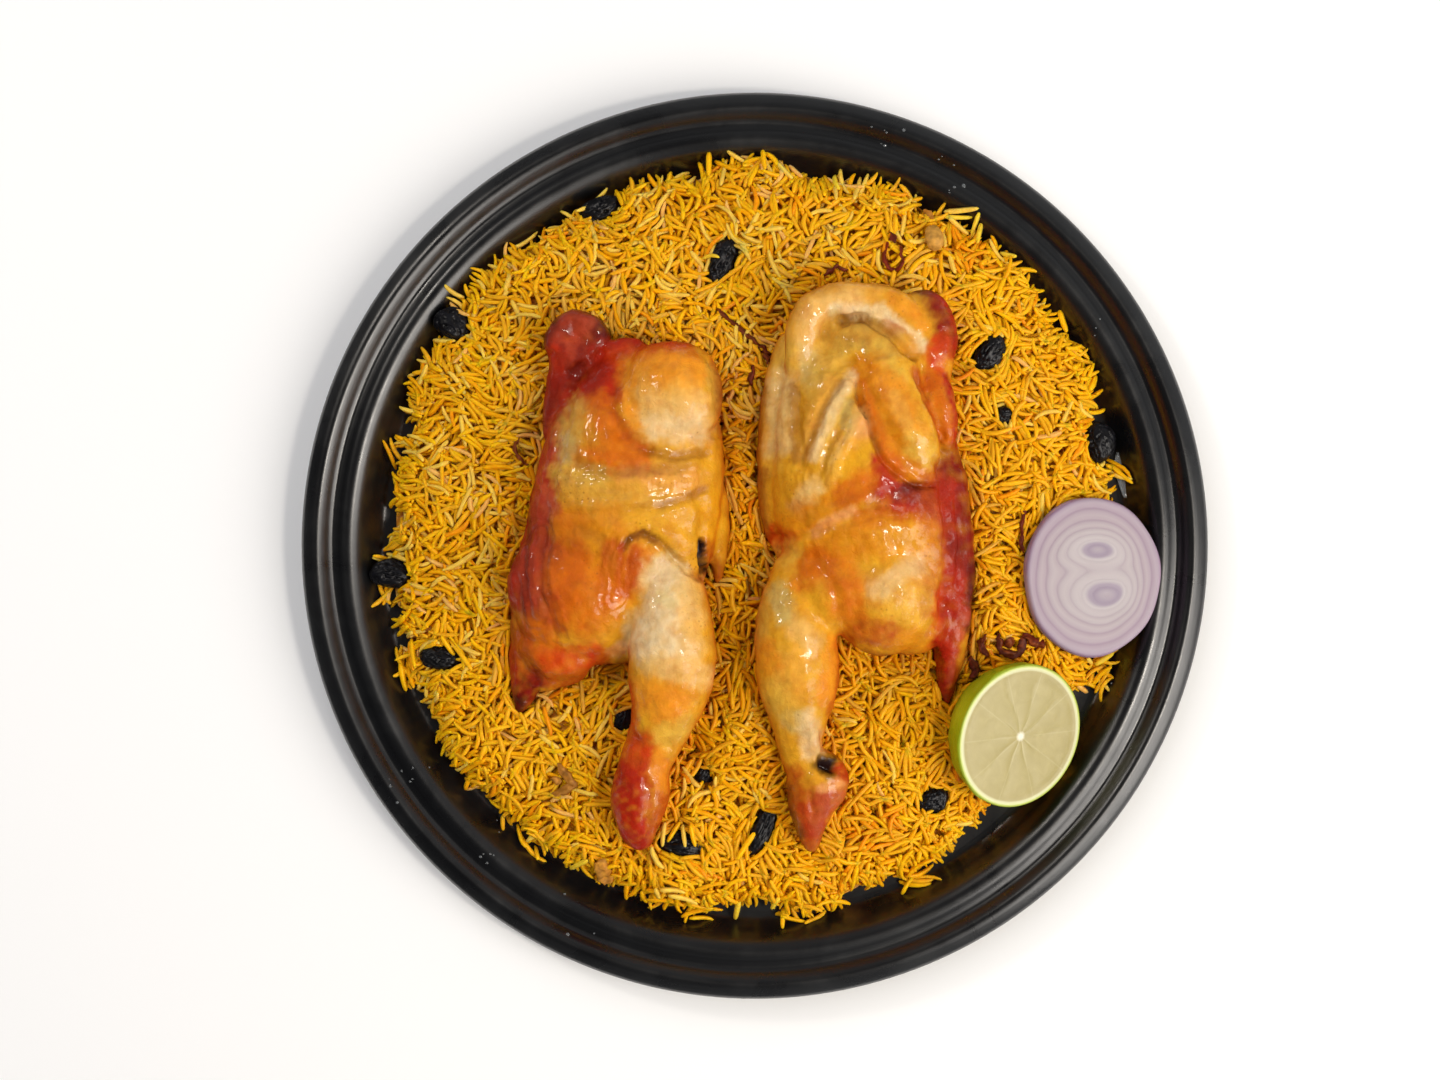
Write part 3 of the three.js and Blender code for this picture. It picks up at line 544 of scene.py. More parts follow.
rightHalf = {
    "limbs": {
        "body": [(30, 86, 36, 17, 13), (32, 62, 38, 26, 19), (37, 36, 40, 32, 22),
                 (43, 10, 39, 35, 21), (51, -14, 37, 33, 19), (56, -35, 33, 23, 12)],
        "breastEdge": [(13, 82, 32, 7, 8), (11, 60, 33, 8.5, 11), (9.8, 35, 33, 9, 12), (10.8, 10, 32, 9, 11),
                       (14, -8, 29, 6, 7)],
        "upperWing": [(16.5, 58, 41, 6.5, 7), (17.8, 73, 44.5, 8, 7.5), (19.5, 86, 45.5, 7.4, 7.5),
                      (28, 92.4, 45.5, 7, 7.5), (38, 93, 45.5, 7, 7.5), (49, 92, 45.2, 7.2, 7.5),
                      (57.4, 87.4, 45, 7, 7.2), (61.6, 81, 45, 6, 7), (62.8, 75, 44.5, 4.6, 6)],
        "forearm": [(43, 90, 44, 10, 6), (43, 81, 46, 17, 7.5), (46.5, 71, 47, 16.5, 9),
                    (51, 60, 49, 12.6, 10), (55.4, 49, 51, 12.2, 10.5), (60, 38, 51.5, 12, 10.5),
                    (64, 25, 49.5, 10.5, 9)],
        "wingWeb": [(42, 82, 44.5, 7, 6), (34, 70, 46, 8, 6.5), (28, 58, 46.5, 7, 6), (22, 46, 46, 5, 5),
                    (18, 36, 45, 3, 4)],
        "wingTip": [(63, 68, 44, 5, 6), (69, 59, 45, 6, 7), (72, 47, 44, 5.5, 7), (73, 36, 42, 4.5, 6)],
        "pool": [(48, 20, 38, 9, 13), (58, 17.5, 38, 11, 14), (67, 18, 35, 9, 13)],
        "shoulder": [(24, 88, 42, 5, 5), (30, 85, 42, 6, 6), (38, 86, 43, 6, 5)],
        "armpit": [(58, 86, 41, 7, 8), (65, 74, 41.5, 8.5, 9), (66, 60, 40, 7, 9)],
        "elbow": [(57, 94, 41, 5, 6), (66, 90, 42, 8, 8), (70.5, 80, 41, 7, 9), (70.5, 68, 40, 5.5, 9),
                  (69, 54, 38, 6, 9)],
        "back": [(64, 74, 34, 8, 9), (67, 50, 33, 9, 12.5), (72, 25, 32, 9.5, 13.5), (74.5, 0, 31, 9.5, 12.5),
                 (75.5, -26, 29, 8.5, 11), (75, -46, 27, 6.5, 8), (74, -63, 24.5, 3, 4)],
        "thigh": [(30, -4, 40, 17, 13), (50, -17, 42, 25, 17.5), (70, -23, 37, 20, 13)],
        "flank": [(38, -24, 36, 11, 12), (58, -28, 36, 14, 14), (74, -28, 33, 12, 10)],
        "bridge": [(12, -14, 42, 12, 11), (30, -15, 44, 18, 14), (52, -18, 43, 20, 15)],
        "drumstick": [(22, 6, 38, 9, 8), (17.5, -10, 41, 14.5, 13), (15.5, -30, 42.5, 17.2, 15.5),
                      (16.5, -50, 41, 16.6, 14.5), (17, -63, 38, 12.8, 12), (17.2, -73, 36, 9.4, 10),
                      (18.5, -81, 35, 8.6, 9.5), (23.8, -90, 35, 13.2, 10.5), (22, -99, 34, 11, 9.5),
                      (21.3, -108, 33, 8.4, 8), (22, -118, 31.5, 5.6, 5.5)],
        "tendon": [(21, -62, 47, 2, 2), (22, -72, 44.5, 2.6, 2.6), (23.4, -80, 41.5, 2.6, 2.6)],
    },
    "relief": [
        # under the bent wing
        (-3.2, 2.7, [(33, 85), (40, 85.2), (46, 83.6), (51, 80), (54.6, 75), (60, 71)]),
        (-1.2, 3.4, [(25, 74), (28, 80.5), (33, 84.6)]),
        (-0.9, 3, [(24, 66), (30, 66), (36, 70)]),
        (-0.5, 1.3, [(71, 90.5), (78, 91)]),                         # ridges round the elbow
        (-0.5, 1.3, [(71, 87.5), (78, 87.5)]),
        (-0.5, 1.3, [(71, 84.5), (78, 84.5)]),
        (-0.5, 1.3, [(71, 81.5), (78, 81.5)]),
        (-2.6, 2.4, [(38.5, 62), (39, 56), (41, 50)]),                 # notch of the folded wing
        (-2.6, 2.2, [(40, 56), (43, 44), (47, 34), (53, 26.4), (60, 22.5), (67, 22.5)]),
        (-1.2, 2, [(60, 66), (65, 54), (71, 40)]),
        (0.8, 2.5, [(44, 68), (52, 71), (60, 66)]),
        (0.9, 3, [(14, 74), (12, 60), (11, 48), (11, 34)]),          # keel of the breast
        (-1.4, 2.6, [(17, 56), (16, 44), (17, 30)]),
        (-0.9, 2.4, [(32, 62), (25, 50), (18, 34)]),                 # the breast's slanting folds
        (-0.9, 2.4, [(38, 58), (31, 44), (24, 26)]),
        (0.8, 2.6, [(35, 62), (28, 48), (21, 31)]),
        (0.8, 2.6, [(40, 50), (34, 38), (28, 24)]),
        (0.7, 4, [(19, 18), (22, 20)]),
        (-1.2, 3.4, [(7, 3), (18, 4), (30, 8), (44, 13), (58, 11)]),  # fold between breast and thigh
        (0.9, 4, [(22, 10), (34, 14), (46, 20)]),
        (-1.3, 3, [(69, 32), (72, 16), (73, 0), (72, -14), (70, -30)]),
        (1.0, 3, [(79, 28), (82, 10), (83, -10), (81, -30)]),
        (-1.0, 4, [(22, -6), (28, -12), (31, -24), (35, -38)]),
        (-1.2, 3, [(68, -38), (71, -46)]),
        (0.5, 3.4, [(20, -66), (21, -73), (22.5, -79)]),             # tendon
        (-4.5, 4.4, [(26.4, -83), (28.6, -84)]),
        (0.9, 3, [(22, -88), (30, -88.5), (35, -90)]),
        (-0.8, 2.4, [(21, -94), (22, -104)]),
    ],
    "wrinkles": [
        (0.25, 3.4, 8, [(79, 16), (80, 0), (79, -16)]),
        (0.22, 2.4, 7, [(74, -52), (74, -44)]),
        (0.16, 2.5, 13, [(34, 56), (22, 26)]),
        (0.14, 2.6, 7, [(12, 0), (48, 10)]),
    ],
    "wet": [(0.6, 8, [(50, 60), (57, 45), (62, 32)]), (0.8, 5, [(22, 5), (36, 13)]), (0.3, 2.5, [(66, 22)]),
            (0.6, 7, [(48, -14), (60, -7)]), (0.45, 6, [(4, -38), (17, -37)]), (0.9, 5, [(28, -91)]),
            (0.4, 2.5, [(79, -24), (78, -33)]), (0.5, 7, [(20, 70), (22, 88), (40, 94)]),
            (0.45, 7, [(12, -20), (14, -48)]), (0.5, 6, [(28, 50), (20, 34)]), (0.6, 4, [(41, 44)]),
            (0.5, 5, [(46, 76), (52, 68)])],
    "dry": [(7, [(52, 17), (64, 17)]), (9, [(80, 30), (82, 0), (82, -24)]),
            (5, [(74, 92), (74, 70), (76, 45)])],
    "baseColour": "gold",
    "paint": [
        ("umber", 3, 0.5, [(15, 90), (21, 98), (32, 101), (46, 100), (58, 98)]),
        ("peach", 7, 0.8, [(16, 66), (17, 80), (22, 92), (34, 97), (46, 96)]),
        ("cream", 6, 0.8, [(20, 70), (21, 84), (28, 91), (38, 92)]),
        ("gold", 6, 0.85, [(52, 94), (60, 90), (62, 84)]),
        ("ivory", 4, 0.85, [(31, 88), (38, 88.6), (47, 87.6), (53, 84), (57.6, 79), (62, 76)]),
        ("apricot", 3.5, 0.7, [(52, 93), (59, 89), (64, 83)]), ("sage", 6, 0.5, [(20, 70), (22, 62)]),
        ("sage", 3, 0.5, [(30, 87)]), ("maroon", 4, 0.85, [(60, 99), (69, 97), (75, 91)]),
        ("wine", 6, 0.9, [(68, 95), (73, 86), (73, 76)]),
        ("crimson", 3.2, 0.9, [(71, 96), (76, 89), (78, 80), (77, 72)]),
        ("scarlet", 6, 0.9, [(70, 76), (68, 70), (67, 62)]),
        # painted shadow: the brown line in the groove under the bent wing
        ("brown", 2.4, 0.95, [(34, 84), (40, 84.8), (46, 83.2), (51, 79.6), (54.6, 74.6), (60, 71)]),
        ("rust", 3, 0.6, [(50, 84), (55, 80), (58, 76)]),
        ("olive", 8, 0.75, [(31, 80), (38, 80), (46, 79), (50, 76)]),
        ("umber", 3, 0.4, [(30, 78), (38, 77), (47, 74)]),
        ("straw", 8, 0.6, [(29, 76), (34, 74), (28, 66)]),
        ("straw", 5, 0.7, [(46, 74), (50, 68), (54, 64)]), ("gold", 5, 0.7, [(56, 76), (60, 70), (63, 64)]),
        ("saffron", 5, 0.8, [(39, 70), (33, 62), (25, 53), (20, 44)]),
        # painted shade: the dark brown in the notch of the folded wing
        ("brown", 2.2, 0.95, [(38.5, 60.5), (39, 56), (40, 53)]),
        ("amber", 8, 0.95, [(42, 66), (46, 56), (50, 44), (57, 32)]),
        ("orange", 3.4, 0.8, [(40, 60), (43, 50), (47, 38), (53, 28)]),
        ("apricot", 6, 0.8, [(50, 62), (55, 52), (60, 42)]),
        ("peach", 3.2, 0.8, [(52, 56), (56, 48), (58, 42)]), ("straw", 6, 0.75, [(60, 38), (64, 34)]),
        ("umber", 1.7, 0.7, [(40.5, 53), (43, 43), (47, 34), (53, 26.4)]),
        ("amber", 4, 0.85, [(58, 27), (64, 24), (70, 28)]),
        ("rust", 2.2, 0.7, [(60, 66), (65, 54), (71, 40)]),
        ("orange", 4, 0.9, [(66, 64), (71, 52), (74, 40)]),
        ("crimson", 2.4, 0.9, [(72, 64), (76, 50), (77, 38)]),
        ("gold", 12, 0.6, [(30, 56), (24, 40), (20, 26)]), ("olive", 7, 0.45, [(30, 68), (24, 56)]),
        ("olive", 8, 0.45, [(9, 76), (8, 60)]), ("straw", 4.6, 0.7, [(12, 74), (10, 60), (9, 46), (8, 30)]),
        ("parchment", 6, 0.4, [(10, 62), (9, 38)]), ("umber", 4, 0.6, [(2, 60), (0, 44), (0, 28)]),
        ("gold", 6, 0.5, [(9, 30), (12, 20)]), ("umber", 2.2, 0.5, [(14.5, 60), (14.8, 44), (15, 32)]),
        ("umber", 5, 0.35, [(18, 44), (21, 51), (18, 34)]),
        ("straw", 5, 0.7, [(34, 57), (28, 46), (24, 34)]),
        ("cream", 3.4, 0.7, [(40, 50), (34, 38), (27, 23)]),
        ("peach", 3.6, 0.75, [(29, 62), (23, 48), (19, 34)]),
        ("parchment", 3, 0.55, [(36, 64), (29, 50), (22, 33)]),
        ("umber", 1.8, 0.45, [(32, 62), (25, 49), (18, 33)]),
        ("umber", 1.8, 0.4, [(38, 57), (31, 43), (25, 27)]), ("sage", 3, 0.5, [(35, 53), (34, 46)]),
        ("flesh", 4, 0.7, [(41, 45), (39, 39)]), ("saffron", 6, 0.7, [(38, 36), (33, 28), (27, 24)]),
        ("cream", 4.6, 0.9, [(17, 15), (20, 19), (22, 22)]),
        ("amber", 7, 0.8, [(13, 7), (18, 10), (30, 16), (44, 26)]),
        # painted highlight: the pale flesh streak along the top of the fold between breast and thigh, beside
        # real wet gloss
        ("orange", 6, 0.8, [(34, 19), (44, 24), (50, 30)]), ("flesh", 3, 0.8, [(23, 5), (29, 9), (36, 13)]),
        ("rust", 5, 0.7, [(40, 10), (50, 11), (62, 9)]),
        ("crimson", 10, 0.95, [(52, 19), (60, 15), (70, 17)]), ("crimson", 4, 0.8, [(46, 32), (49, 24)]),
        ("wine", 5, 0.85, [(55, 19), (62, 19), (69, 20)]), ("maroon", 2.6, 0.7, [(56, 22), (64, 22)]),
        ("rust", 9, 0.6, [(69, 22), (68, 2), (68, -22)]),
        ("wine", 8, 0.9, [(75, 30), (78, 16), (79, 4), (80, -8)]),
        ("crimson", 5, 0.7, [(73, 24), (74, 8), (75, -6)]),
        ("wine", 5, 0.85, [(77, 0), (79, -12), (81, -24)]), ("scarlet", 6, 0.9, [(6, 3), (10, 1)]),
        ("umber", 3.5, 0.7, [(3, 28), (2, 17), (3, 6)]),
        ("amber", 9, 0.85, [(26, -2), (38, 2), (50, 5), (60, 4)]), ("gold", 6, 0.6, [(50, 4), (60, 3)]),
        # painted highlight: the peach and parchment streak on the thigh's top, beside real wet gloss
        ("peach", 8, 0.6, [(46, -16), (54, -12), (62, -7)]),
        ("parchment", 5, 0.45, [(47, -16), (53, -12), (60, -7)]),
        ("straw", 9, 0.35, [(54, -22), (62, -22)]), ("orange", 9, 0.8, [(36, -24), (34, -14), (24, -6)]),
        ("orange", 5, 0.7, [(18, -14), (20, -6)]), ("rust", 6, 0.75, [(40, -33), (50, -33)]),
        ("amber", 6, 0.7, [(57, -36), (67, -37)]),
        ("umber", 2.4, 0.7, [(42, -41), (51, -43), (61, -44), (70, -41)]),
        ("crimson", 7, 0.9, [(76, -14), (75, -26), (73, -38)]), ("scarlet", 3, 0.6, [(70, -18), (69, -30)]),
        ("maroon", 3.6, 0.8, [(84, -8), (84, -20), (82, -31)]), ("rose", 2.4, 0.7, [(80, -26), (78, -34)]),
        ("crimson", 8, 0.95, [(73, -42), (75, -52), (73, -60)]), ("wine", 3, 0.85, [(70, -50), (72, -60)]),
        ("rose", 1.6, 0.6, [(77, -42), (75, -52)]), ("straw", 6, 0.6, [(9, -4), (12, -2)]),
        ("sage", 5, 0.7, [(9, -17), (11, -26)]), ("olive", 5, 0.6, [(2, -22), (0, -36)]),
        # painted highlight: the cream streak down the middle of the drumstick, beside real wet gloss
        ("cream", 6, 0.6, [(17, -31), (21, -36)]), ("apricot", 5, 0.7, [(7, -45), (4, -38)]),
        ("peach", 7, 0.6, [(15, -44), (13, -54)]), ("apricot", 5, 0.9, [(31, -49), (31, -38), (28, -58)]),
        ("rust", 2.8, 0.7, [(34, -42), (33, -54), (29, -64)]), ("straw", 6, 0.6, [(9, -60), (8, -54)]),
        ("sage", 6, 0.5, [(15, -66), (18, -69)]), ("parchment", 5, 0.6, [(20, -66), (22, -77)]),
        ("rust", 5, 0.8, [(16, -100), (15, -92), (15, -86)]), ("rust", 8, 0.85, [(24, -98), (22, -114)]),
        ("brick", 6, 0.7, [(26, -97), (24, -108)]), ("crimson", 3, 0.6, [(18, -100), (20, -112)]),
        ("rose", 5, 0.7, [(33, -90), (30, -98)]), ("flesh", 2.8, 0.8, [(26, -92), (31, -91)]),
        # painted shade: near-black in the pit at the shank's end
        ("wine", 2.6, 0.8, [(38, -90), (37, -96), (34, -102)]), ("char", 4.2, 0.97, [(26, -83), (29, -84)]),
        ("crimson", 3, 0.8, [(33, -85), (36, -88)]),
        ("brown", 2.4, 0.7, [(12, -92), (13, -101), (17, -111)]),
    ],
}
chicken = {
    "voxel": 0.8,           # mm, the finest shape the skin keeps
    "smoothing": 14,        # passes over it
    "oil": 0.2,             # share of fat on the skin between the wet spots
    "lumps": (0.3, 0.14),   # mm that the skin rises and falls over 14 and 6 mm
    "skinColours": {
        "char": "#1c0604", "maroon": "#540e08", "wine": "#821808", "crimson": "#a82208", "scarlet": "#c43c08",
        "rust": "#b24a0a", "orange": "#ca6408", "amber": "#d27e0e", "gold": "#d8981e", "saffron": "#e2a012",
        "apricot": "#e48e1e", "peach": "#e2a03a", "straw": "#dcac3e", "olive": "#c6943a", "sage": "#bea65e",
        "parchment": "#e2c492", "cream": "#e4b262", "ivory": "#ecce98", "flesh": "#e49c56", "rose": "#b84c30",
        "umber": "#94591a", "brown": "#5e260c", "brick": "#a83c20",
    },
    "sideShadeTone": "#dc8438",  # painted shade: multiplies the colour of the steep sides
    # how strongly the painted side shade is laid on
    "sideShadeShare": 0.8,
}
skinColour = {name: np.array(linear(code)[:3]) for name, code in chicken["skinColours"].items()}


def chickenMesh(name, half):
    bm = bmesh.new()
    for stations in half["limbs"].values():
        addLimb(bm, stations)
    rough = bpy.data.objects.new(name, meshFrom(bm, name))
    bpy.context.scene.collection.objects.link(rough)
    remesh = rough.modifiers.new("oneSkin", "REMESH")
    remesh.mode = "VOXEL"
    remesh.voxel_size = chicken["voxel"] * mm
    soften = rough.modifiers.new("soften", "SMOOTH")
    soften.factor = 0.5
    soften.iterations = chicken["smoothing"]
    mesh = bakeModifiers(rough)
    bpy.data.objects.remove(rough)

    points = places(mesh)
    outward = normals(mesh)
    facingUp = smooth((outward[:, 2] + 0.15) / 0.5)
    wander = np.column_stack([wobble(points, 17, 3), wobble(points, 17, 4)]) * 0.9
    wander += np.column_stack([wobble(points, 6, 5), wobble(points, 6, 6)]) * 0.35
    plan = points[:, :2] + wander
    wet = np.full(len(points), chicken["oil"]) + 0.1 * wobble(points, 16, 12)
    for share, reach, line in half["wet"]:
        wet = np.maximum(wet, share * smooth(1.3 - 1.3 * pathDistance(plan, line) / reach))
    for reach, line in half["dry"]:
        wet *= 1 - 0.8 * smooth(1.3 - 1.3 * pathDistance(plan, line) / reach)
    lift = wobble(points, 14, 8) * chicken["lumps"][0] + wobble(points, 6, 9) * chicken["lumps"][1]
    lift += wobble(points, 3.4, 10, 12) * (0.05 + 0.2 * wet) * facingUp
    lift += wobble(points, 2.2, 11, 12) * 0.1 * wet * facingUp
    for height, reach, line in half["relief"]:
        lift += height * facingUp * smooth(1 - pathDistance(plan, line) / reach)
    for height, spacing, reach, line in half["wrinkles"]:
        away = pathDistance(plan, line)
        lift += height * facingUp * np.sin(2 * math.pi * away / spacing) * smooth(1.4 - 1.4 * away / reach)
    movePlaces(mesh, points + outward * lift[:, None])

    colours = np.tile(skinColour[half["baseColour"]], (len(points), 1))
    stray = np.column_stack([wobble(points, 10, 21), wobble(points, 10, 22)]) * 1.5
    stray += np.column_stack([wobble(points, 4, 23), wobble(points, 4, 24)]) * 0.7
    feather = np.column_stack([wobble(points, 2.1, 25, 12), wobble(points, 2.1, 26, 12)]) * 0.4
    patchy = [1 + 0.24 * wobble(points, 4 + k, 60 + k, 12) for k in range(5)]
    for turn, (colour, reach, strength, line) in enumerate(half["paint"]):
        plan = points[:, :2] + stray * min(1, reach / 7) + feather  # narrow marks wander less
        share = strength * smooth(1.15 * (1.22 - pathDistance(plan, line) / reach))
        colours += (skinColour[colour] - colours) * np.clip(share * patchy[turn % len(patchy)], 0, 1)[:, None]
    # painted shade: the steep sides are darkened towards brown, where shade falls on them
    steepness = smooth((0.72 - outward[:, 2]) / 0.8)
    sideShadeTone = np.array(linear(chicken["sideShadeTone"])[:3])
    colours += (colours * sideShadeTone - colours) * (chicken["sideShadeShare"] * steepness)[:, None]
    streaks = wobble(points * (1, 0.45, 1), 5, 27, 14) + 0.7 * wobble(points * (1, 0.6, 1), 2.6, 28, 14)
    colours *= (1 + 0.09 * np.clip(streaks, -1.5, 1.5))[:, None] ** (0.5, 1.0, 1.7)
    paintMesh(mesh, "skinPaint", colours)
    mesh.attributes.new("wet", "FLOAT", "POINT").data.foreach_set("value", wet)
    return mesh


# Roast chicken skin: thin, oily and translucent, browned unevenly from pale cream to mahogany. The eye sees
# smooth colour pools, brown freckles at the pores and small wet glints where fat stands on the skin.
roastSkin, tree = newMaterial("roasted chicken skin")
spot = addSpot(tree)
wetness = addAttribute(tree, "wet", "Fac")
blotches = addRange(tree, addNoise(tree, spot, 160, 4, 0.6), 0.3, 0.72, 0.88, 1.12)
mottled = addShade(tree, addAttribute(tree, "skinPaint"), blotches)
pores = addRange(tree, addCells(tree, spot, 520), 0.12, 0.3, 1, 0)
freckles = addMath(tree, "MULTIPLY", pores, addRange(tree, addNoise(tree, spot, 70), 0.56, 0.7, 0, 0.45))
# browned cells: where the noise is high the skin goes one step darker and redder
cells = addRange(tree, addNoise(tree, spot, 120, 5, 0.6, 0.3), 0.48, 0.7, 0, 0.32)
browned = addMix(tree, cells, mottled, linear("#cf8a4c"), "MULTIPLY")
pimples = addBump(tree, addNoise(tree, spot, 950), 0.16, 0.0006)
wrinkled = addBump(tree, addNoise(tree, spot, 380, 5, 0.62, 0.6), 0.5, 0.0013, Normal=pimples)
# beads of fat: small patches where the coat is thick, more of them where the skin is wet
beads = addRange(tree, addNoise(tree, spot, 260, 3, 0.6), 0.48, 0.6, 0, 0.55)
beadShare = addRange(tree, wetness, 0.1, 0.5, 0.6, 1)
gloss = addRange(tree, wetness, 0.1, 1, 0.02, 0.9)
finishMaterial(tree, {
    "Base Color": addMix(tree, freckles, browned, linear("#6e3410")),
    "Roughness": addRange(tree, wetness, 0.1, 0.9, 0.5, 0.3), "IOR": 1.45, "Specular IOR Level": 0.14,
    "Subsurface Weight": 0.08, "Subsurface Radius": (1.0, 0.4, 0.15), "Subsurface Scale": 0.003,
    "Coat Weight": addMath(tree, "MULTIPLY_ADD", beads, beadShare, gloss, clamp=True), "Coat Roughness": 0.1,
    "Normal": wrinkled})

chickenPieces = []
for name, half, node in [("chicken_left", leftHalf, "chicken_half_left"),
                         ("chicken_right", rightHalf, "chicken_half_right")]:
    chickenPieces.append(newPiece(name, chickenMesh(name, half), [roastSkin], "chicken", node))
    print(name, "skin", len(chickenPieces[-1].data.polygons), "faces")


# Lime half

lime = {
    "x": 102.3, "y": -73.4, "faceHeight": 33.2,  # middle of the cut face
    "tiltDeg": 31, "towardsDeg": -22,            # the cut face leans down to this side
    "radius": 28.4, "depth": 26,
    "segments": 10,
    "swell": 0.16,           # mm that the pulp bulges between its membranes
    "rindRows": 40, "faceRows": 34, "steps": 160,
}


def tipped(tiltDeg, towardsDeg, x, y, z):
    # stands a shape made on +Z at its place, leaning towards a compass direction
    heading = math.radians(towardsDeg)
    lean = Matrix.Rotation(math.radians(tiltDeg), 4, Vector((-math.sin(heading), math.cos(heading), 0)))
    return Matrix.Translation((x, y, z)) @ lean


def limeMesh():
    radius, depth, rows = lime["radius"], lime["depth"], lime["faceRows"]
    rind = []
    for i in range(lime["rindRows"] + 1):
        turn = i / lime["rindRows"] * (math.pi / 2 - 0.03)
        nipple = 1.4 * math.exp(-(turn / 0.16) ** 2)
        rind.append((radius * math.sin(turn), -depth * math.cos(turn) - nipple))
    rim = [(radius - 0.05, -0.45), (radius - 0.35, -0.1), (radius - 0.9, 0)]
    face = [((radius - 0.9) * (1 - i / rows), 0) for i in range(1, rows + 1)]
    bm = spinProfile(rind + rim + face, lime["steps"])
    pulpReach = 0.9 * radius
    for vert in bm.verts:
        away = math.hypot(vert.co.x, vert.co.y)
        if vert.co.z > -0.05 and away < pulpReach:
            part = math.atan2(vert.co.y, vert.co.x) / (2 * math.pi) * lime["segments"]
            part += 0.12 * math.sin(away / 4)
            swell = abs(math.sin(math.pi * part)) ** 0.5 * min(1, away / 5) * min(1, (pulpReach - away) / 3)
            vert.co.z += lime["swell"] * swell - 0.1
        elif vert.co.z < -0.6:
            dimple = noise.noise(vert.co * 0.55) * 0.12 + noise.noise(vert.co * 0.12) * 0.5
            vert.co += vert.co.normalized() * dimple
    uv = bm.loops.layers.uv.new("cutFace")
    for face in bm.faces:
        face.material_index = 1 if min(v.co.z for v in face.verts) > -0.46 else 0
        for loop in face.loops:
            loop[uv].uv = (0.5 + loop.vert.co.x / radius / 2, 0.5 + loop.vert.co.y / radius / 2)
    bmesh.ops.transform(bm, matrix=tipped(lime["tiltDeg"], lime["towardsDeg"], lime["x"], lime["y"],
                                          lime["faceHeight"]), verts=bm.verts)
    return meshFrom(bm, "lime")


# Lime peel: waxy green turning yellow, with oil glands that dimple it and break up its gloss.
peel, tree = newMaterial("waxy lime peel")
spot = addSpot(tree)
finishMaterial(tree, {
    "Base Color": addRamp(tree, addNoise(tree, spot, 45, 3),
                          [(0.32, "#7c960c"), (0.52, "#9cac14"), (0.72, "#b2bc24")]),
    "Roughness": 0.32, "Normal": addBump(tree, addCells(tree, spot, 800), 0.35, 0.0005), "Coat Weight": 0.2})

# Cut lime: wet translucent pulp in wedges, thin pale membranes, white pith and a bright green-yellow edge.
pulp, tree = newMaterial("cut lime pulp")
flat = addNode(tree, "ShaderNodeUVMap", uv_map="cutFace")
centred = addNode(tree, "ShaderNodeMapping", {
    "Vector": flat.outputs["UV"], "Location": (-1, -1, 0), "Scale": (2, 2, 1)}).outputs["Vector"]
away = addNode(tree, "ShaderNodeVectorMath", {0: centred}, operation="LENGTH").outputs["Value"]
split = addNode(tree, "ShaderNodeSeparateXYZ", {"Vector": centred})
turn = addMath(tree, "ARCTAN2", split.outputs["Y"], split.outputs["X"])
wedge = addMath(tree, "SINE", addMath(tree, "MULTIPLY", turn, lime["segments"] / 2))
fromMembrane = addMath(tree, "MULTIPLY", addMath(tree, "ABSOLUTE", wedge), away)
membrane = addRange(tree, fromMembrane, 0.01, 0.07, 0.3, 0)
sacs = addNoise(tree, centred, 5, 3, distortion=0.8)
pulpTone = addRamp(tree, sacs, [(0.3, "#a29459"), (0.55, "#a7995f"), (0.75, "#ad9f66")])
pulpTone = addMix(tree, membrane, pulpTone, linear("#c0b688"))
pithTone = addRamp(tree, away, [(0.9, "#a89c62"), (0.925, "#c8c496"), (0.95, "#d2d4a0"), (0.97, "#c0ca6c"),
                                (0.988, "#98a830")])
faceTone = addMix(tree, addRange(tree, away, 0.9, 0.92, 0, 1), pulpTone, pithTone)
heart = addRange(tree, away, 0.03, 0.08, 1, 0)
finishMaterial(tree, {
    "Base Color": addMix(tree, heart, faceTone, linear("#e6e2c8")), "Roughness": 0.3,
    "Subsurface Weight": 0.15, "Subsurface Scale": 0.003, "Subsurface Radius": (1, 0.9, 0.4),
    "Normal": addBump(tree, sacs, 0.12, 0.0008)})
limePiece = newPiece("lime", limeMesh(), [peel, pulp], "lime", "lime_half")
print("lime cut")


# Onion slice

onion = {
    "x": 131, "y": -12, "tiltDeg": 8,
    "halfX": 27, "halfY": 31, "thickness": 6.5,
    "eyes": [(1.6, 10.5, 7.5, 3.8), (5, -7, 8.4, 5.2)],  # middles of the two hearts and their half sizes
    "ringCount": 7,
    "groove": 0.1,           # mm between the layers
    "steps": 168, "rows": 52,
}
onionLow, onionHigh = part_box("onion_slice")  # it lies where its solid lies
onion["height"] = (onionLow.z + onionHigh.z) / 2 / mm


def onionRing(x, y):
    # 0 in the two hearts to 1 at the outer skin: the phase of the rings
    outer = math.hypot(x / onion["halfX"], y / onion["halfY"])
    near = [math.hypot((x - ex) / a, (y - ey) / b) for ex, ey, a, b in onion["eyes"]]
    inner = -math.log(sum(math.exp(-2.2 * d) for d in near)) / 2.2
    share = float(smooth(np.array((outer - 0.35) / 0.5)))
    return (1 - share) * max(0.0, inner) * 0.24 + share * outer


